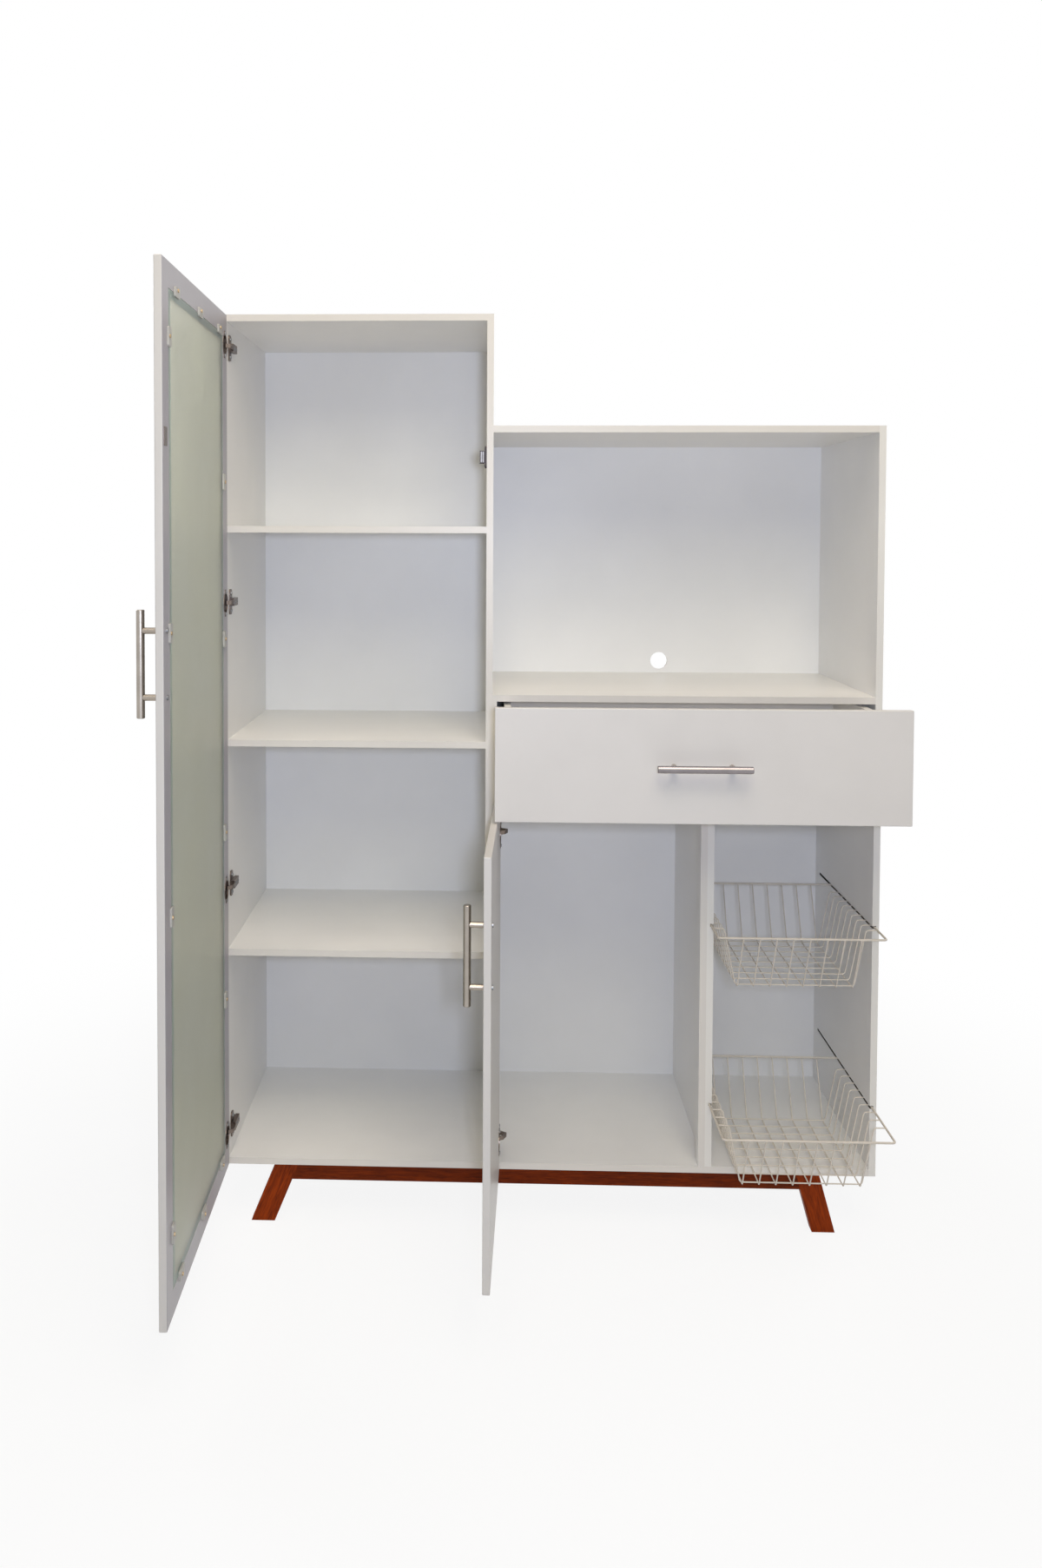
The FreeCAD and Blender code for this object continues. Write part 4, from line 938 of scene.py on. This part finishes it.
def lay_floor(stage):
    """White paper floor: a soft shadow near the cabinet, which goes over to plain white further out."""
    material, tree, paper, place = start_material(
        "matt_white_paper", Base_Color=stage.paper, Roughness=0.9,
    )
    distance = add_node(tree, "ShaderNodeVectorMath", {0: place}, operation="LENGTH").outputs["Value"]
    white_share = add_node(tree, "ShaderNodeMapRange", {
        "Value": distance, "From Min": FADE_START, "From Max": FADE_END,
        "To Min": 1 - stage.shadow, "To Max": 1.0,
    }, interpolation_type="SMOOTHSTEP").outputs["Result"]
    share = add_node(tree, "ShaderNodeMath", {0: shown_ray(tree), 1: white_share}, operation="MULTIPLY")
    glow = add_node(tree, "ShaderNodeEmission", {"Color": linear(WHITE), "Strength": 1.0})
    mixed = add_node(tree, "ShaderNodeMixShader", {
        0: share.outputs["Value"], 1: paper.outputs["BSDF"], 2: glow.outputs["Emission"],
    })
    tree.links.new(mixed.outputs["Shader"], tree.nodes["Material Output"].inputs["Surface"])
    shell = bmesh.new()
    bmesh.ops.create_grid(shell, x_segments=1, y_segments=1, size=FLOOR_REACH)
    floor = make_object(shell, "floor", material)


def light_room(stage):
    """Faint surrounding light and soft lamps: beside the camera, in front, overhead and behind."""
    world = bpy.data.worlds.new("studio")
    bpy.context.scene.world = world
    world.use_nodes = True
    tree = world.node_tree
    around = tree.nodes["Background"]
    around.inputs["Color"].default_value = linear(WHITE)
    around.inputs["Strength"].default_value = stage.fill
    white = add_node(tree, "ShaderNodeBackground", {"Color": linear(WHITE), "Strength": 1.0})
    mixed = add_node(tree, "ShaderNodeMixShader", {
        0: shown_ray(tree), 1: around.outputs["Background"], 2: white.outputs["Background"],
    })
    tree.links.new(mixed.outputs["Shader"], tree.nodes["World Output"].inputs["Surface"])
    for name, place, size, power, colour in LAMPS:
        lamp = bpy.data.lights.new(name, "AREA")
        lamp.energy = power * stage.lamps
        lamp.color = linear(colour)[:3]
        lamp.size = size
        holder = bpy.data.objects.new(name, lamp)
        holder.location = place
        aim = Vector(LAMP_TARGET) - holder.location
        holder.rotation_euler = aim.to_track_quat("-Z", "Y").to_euler()
        bpy.context.scene.collection.objects.link(holder)


def aim_camera(stage):
    """Camera of the photograph, placed from the carcass's front lower left corner."""
    data = bpy.data.cameras.new("camera")
    data.sensor_width = SENSOR_MM
    data.lens = stage.lens
    data.shift_x = (IMAGE_WIDTH / 2 - OPTICAL_X) / IMAGE_HEIGHT
    data.shift_y = (OPTICAL_Y - IMAGE_HEIGHT / 2) / IMAGE_HEIGHT
    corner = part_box("left_side_panel")[0]
    axes = Euler(CAMERA_TURN, "XYZ").to_matrix()
    across, ahead, up = axes.row[0], axes.row[1], axes.row[2]
    turn = Matrix((across, up, -Vector(ahead))).transposed()
    camera = bpy.data.objects.new("camera", data)
    camera.matrix_world = Matrix.Translation(corner + Vector(CAMERA_PLACE)) @ turn.to_4x4()
    bpy.context.scene.collection.objects.link(camera)
    bpy.context.scene.camera = camera


# Panel and registration


class CABINET_PT_finish(bpy.types.Panel):
    """Cabinet finish in the sidebar"""

    bl_idname = "CABINET_PT_finish"
    bl_label = "Cabinet finish"
    bl_space_type = "VIEW_3D"
    bl_region_type = "UI"
    bl_category = "Cabinet"

    def draw(self, context):
        for operator in OPERATORS:
            self.layout.operator(operator.bl_idname)
        settings = context.scene.cabinet
        for group_name in CabinetSettings.__annotations__:
            group = getattr(settings, group_name)
            for name in group.__annotations__:
                self.layout.prop(group, name)


GROUPS = (
    EnamelSettings, TimberSettings, MetalSettings, PlasticSettings, FixingSettings, StageSettings,
    CabinetSettings,
)
OPERATORS = (
    CABINET_OT_enamel_boards, CABINET_OT_stain_stand, CABINET_OT_plate_metals,
    CABINET_OT_finish_plastics, CABINET_OT_fix_hinges, CABINET_OT_fix_catch,
    CABINET_OT_weld_baskets, CABINET_OT_pin_back, CABINET_OT_set_stage,
)
CLASSES = (*GROUPS, *OPERATORS, CABINET_PT_finish)


def register():
    """Registers the settings, the operators and the panel."""
    for kind in CLASSES:
        bpy.utils.register_class(kind)
    bpy.types.Scene.cabinet = bpy.props.PointerProperty(type=CabinetSettings)


def unregister():
    """Takes them out again."""
    del bpy.types.Scene.cabinet
    for kind in reversed(CLASSES):
        bpy.utils.unregister_class(kind)


def main():
    """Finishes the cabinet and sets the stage."""
    register()
    bpy.ops.cabinet.enamel_boards()
    bpy.ops.cabinet.stain_stand()
    bpy.ops.cabinet.plate_metals()
    bpy.ops.cabinet.finish_plastics()
    bpy.ops.cabinet.fix_hinges()
    bpy.ops.cabinet.fix_catch()
    bpy.ops.cabinet.weld_baskets()
    bpy.ops.cabinet.pin_back()
    bpy.ops.cabinet.set_stage()


if __name__ == "__main__":
    main()
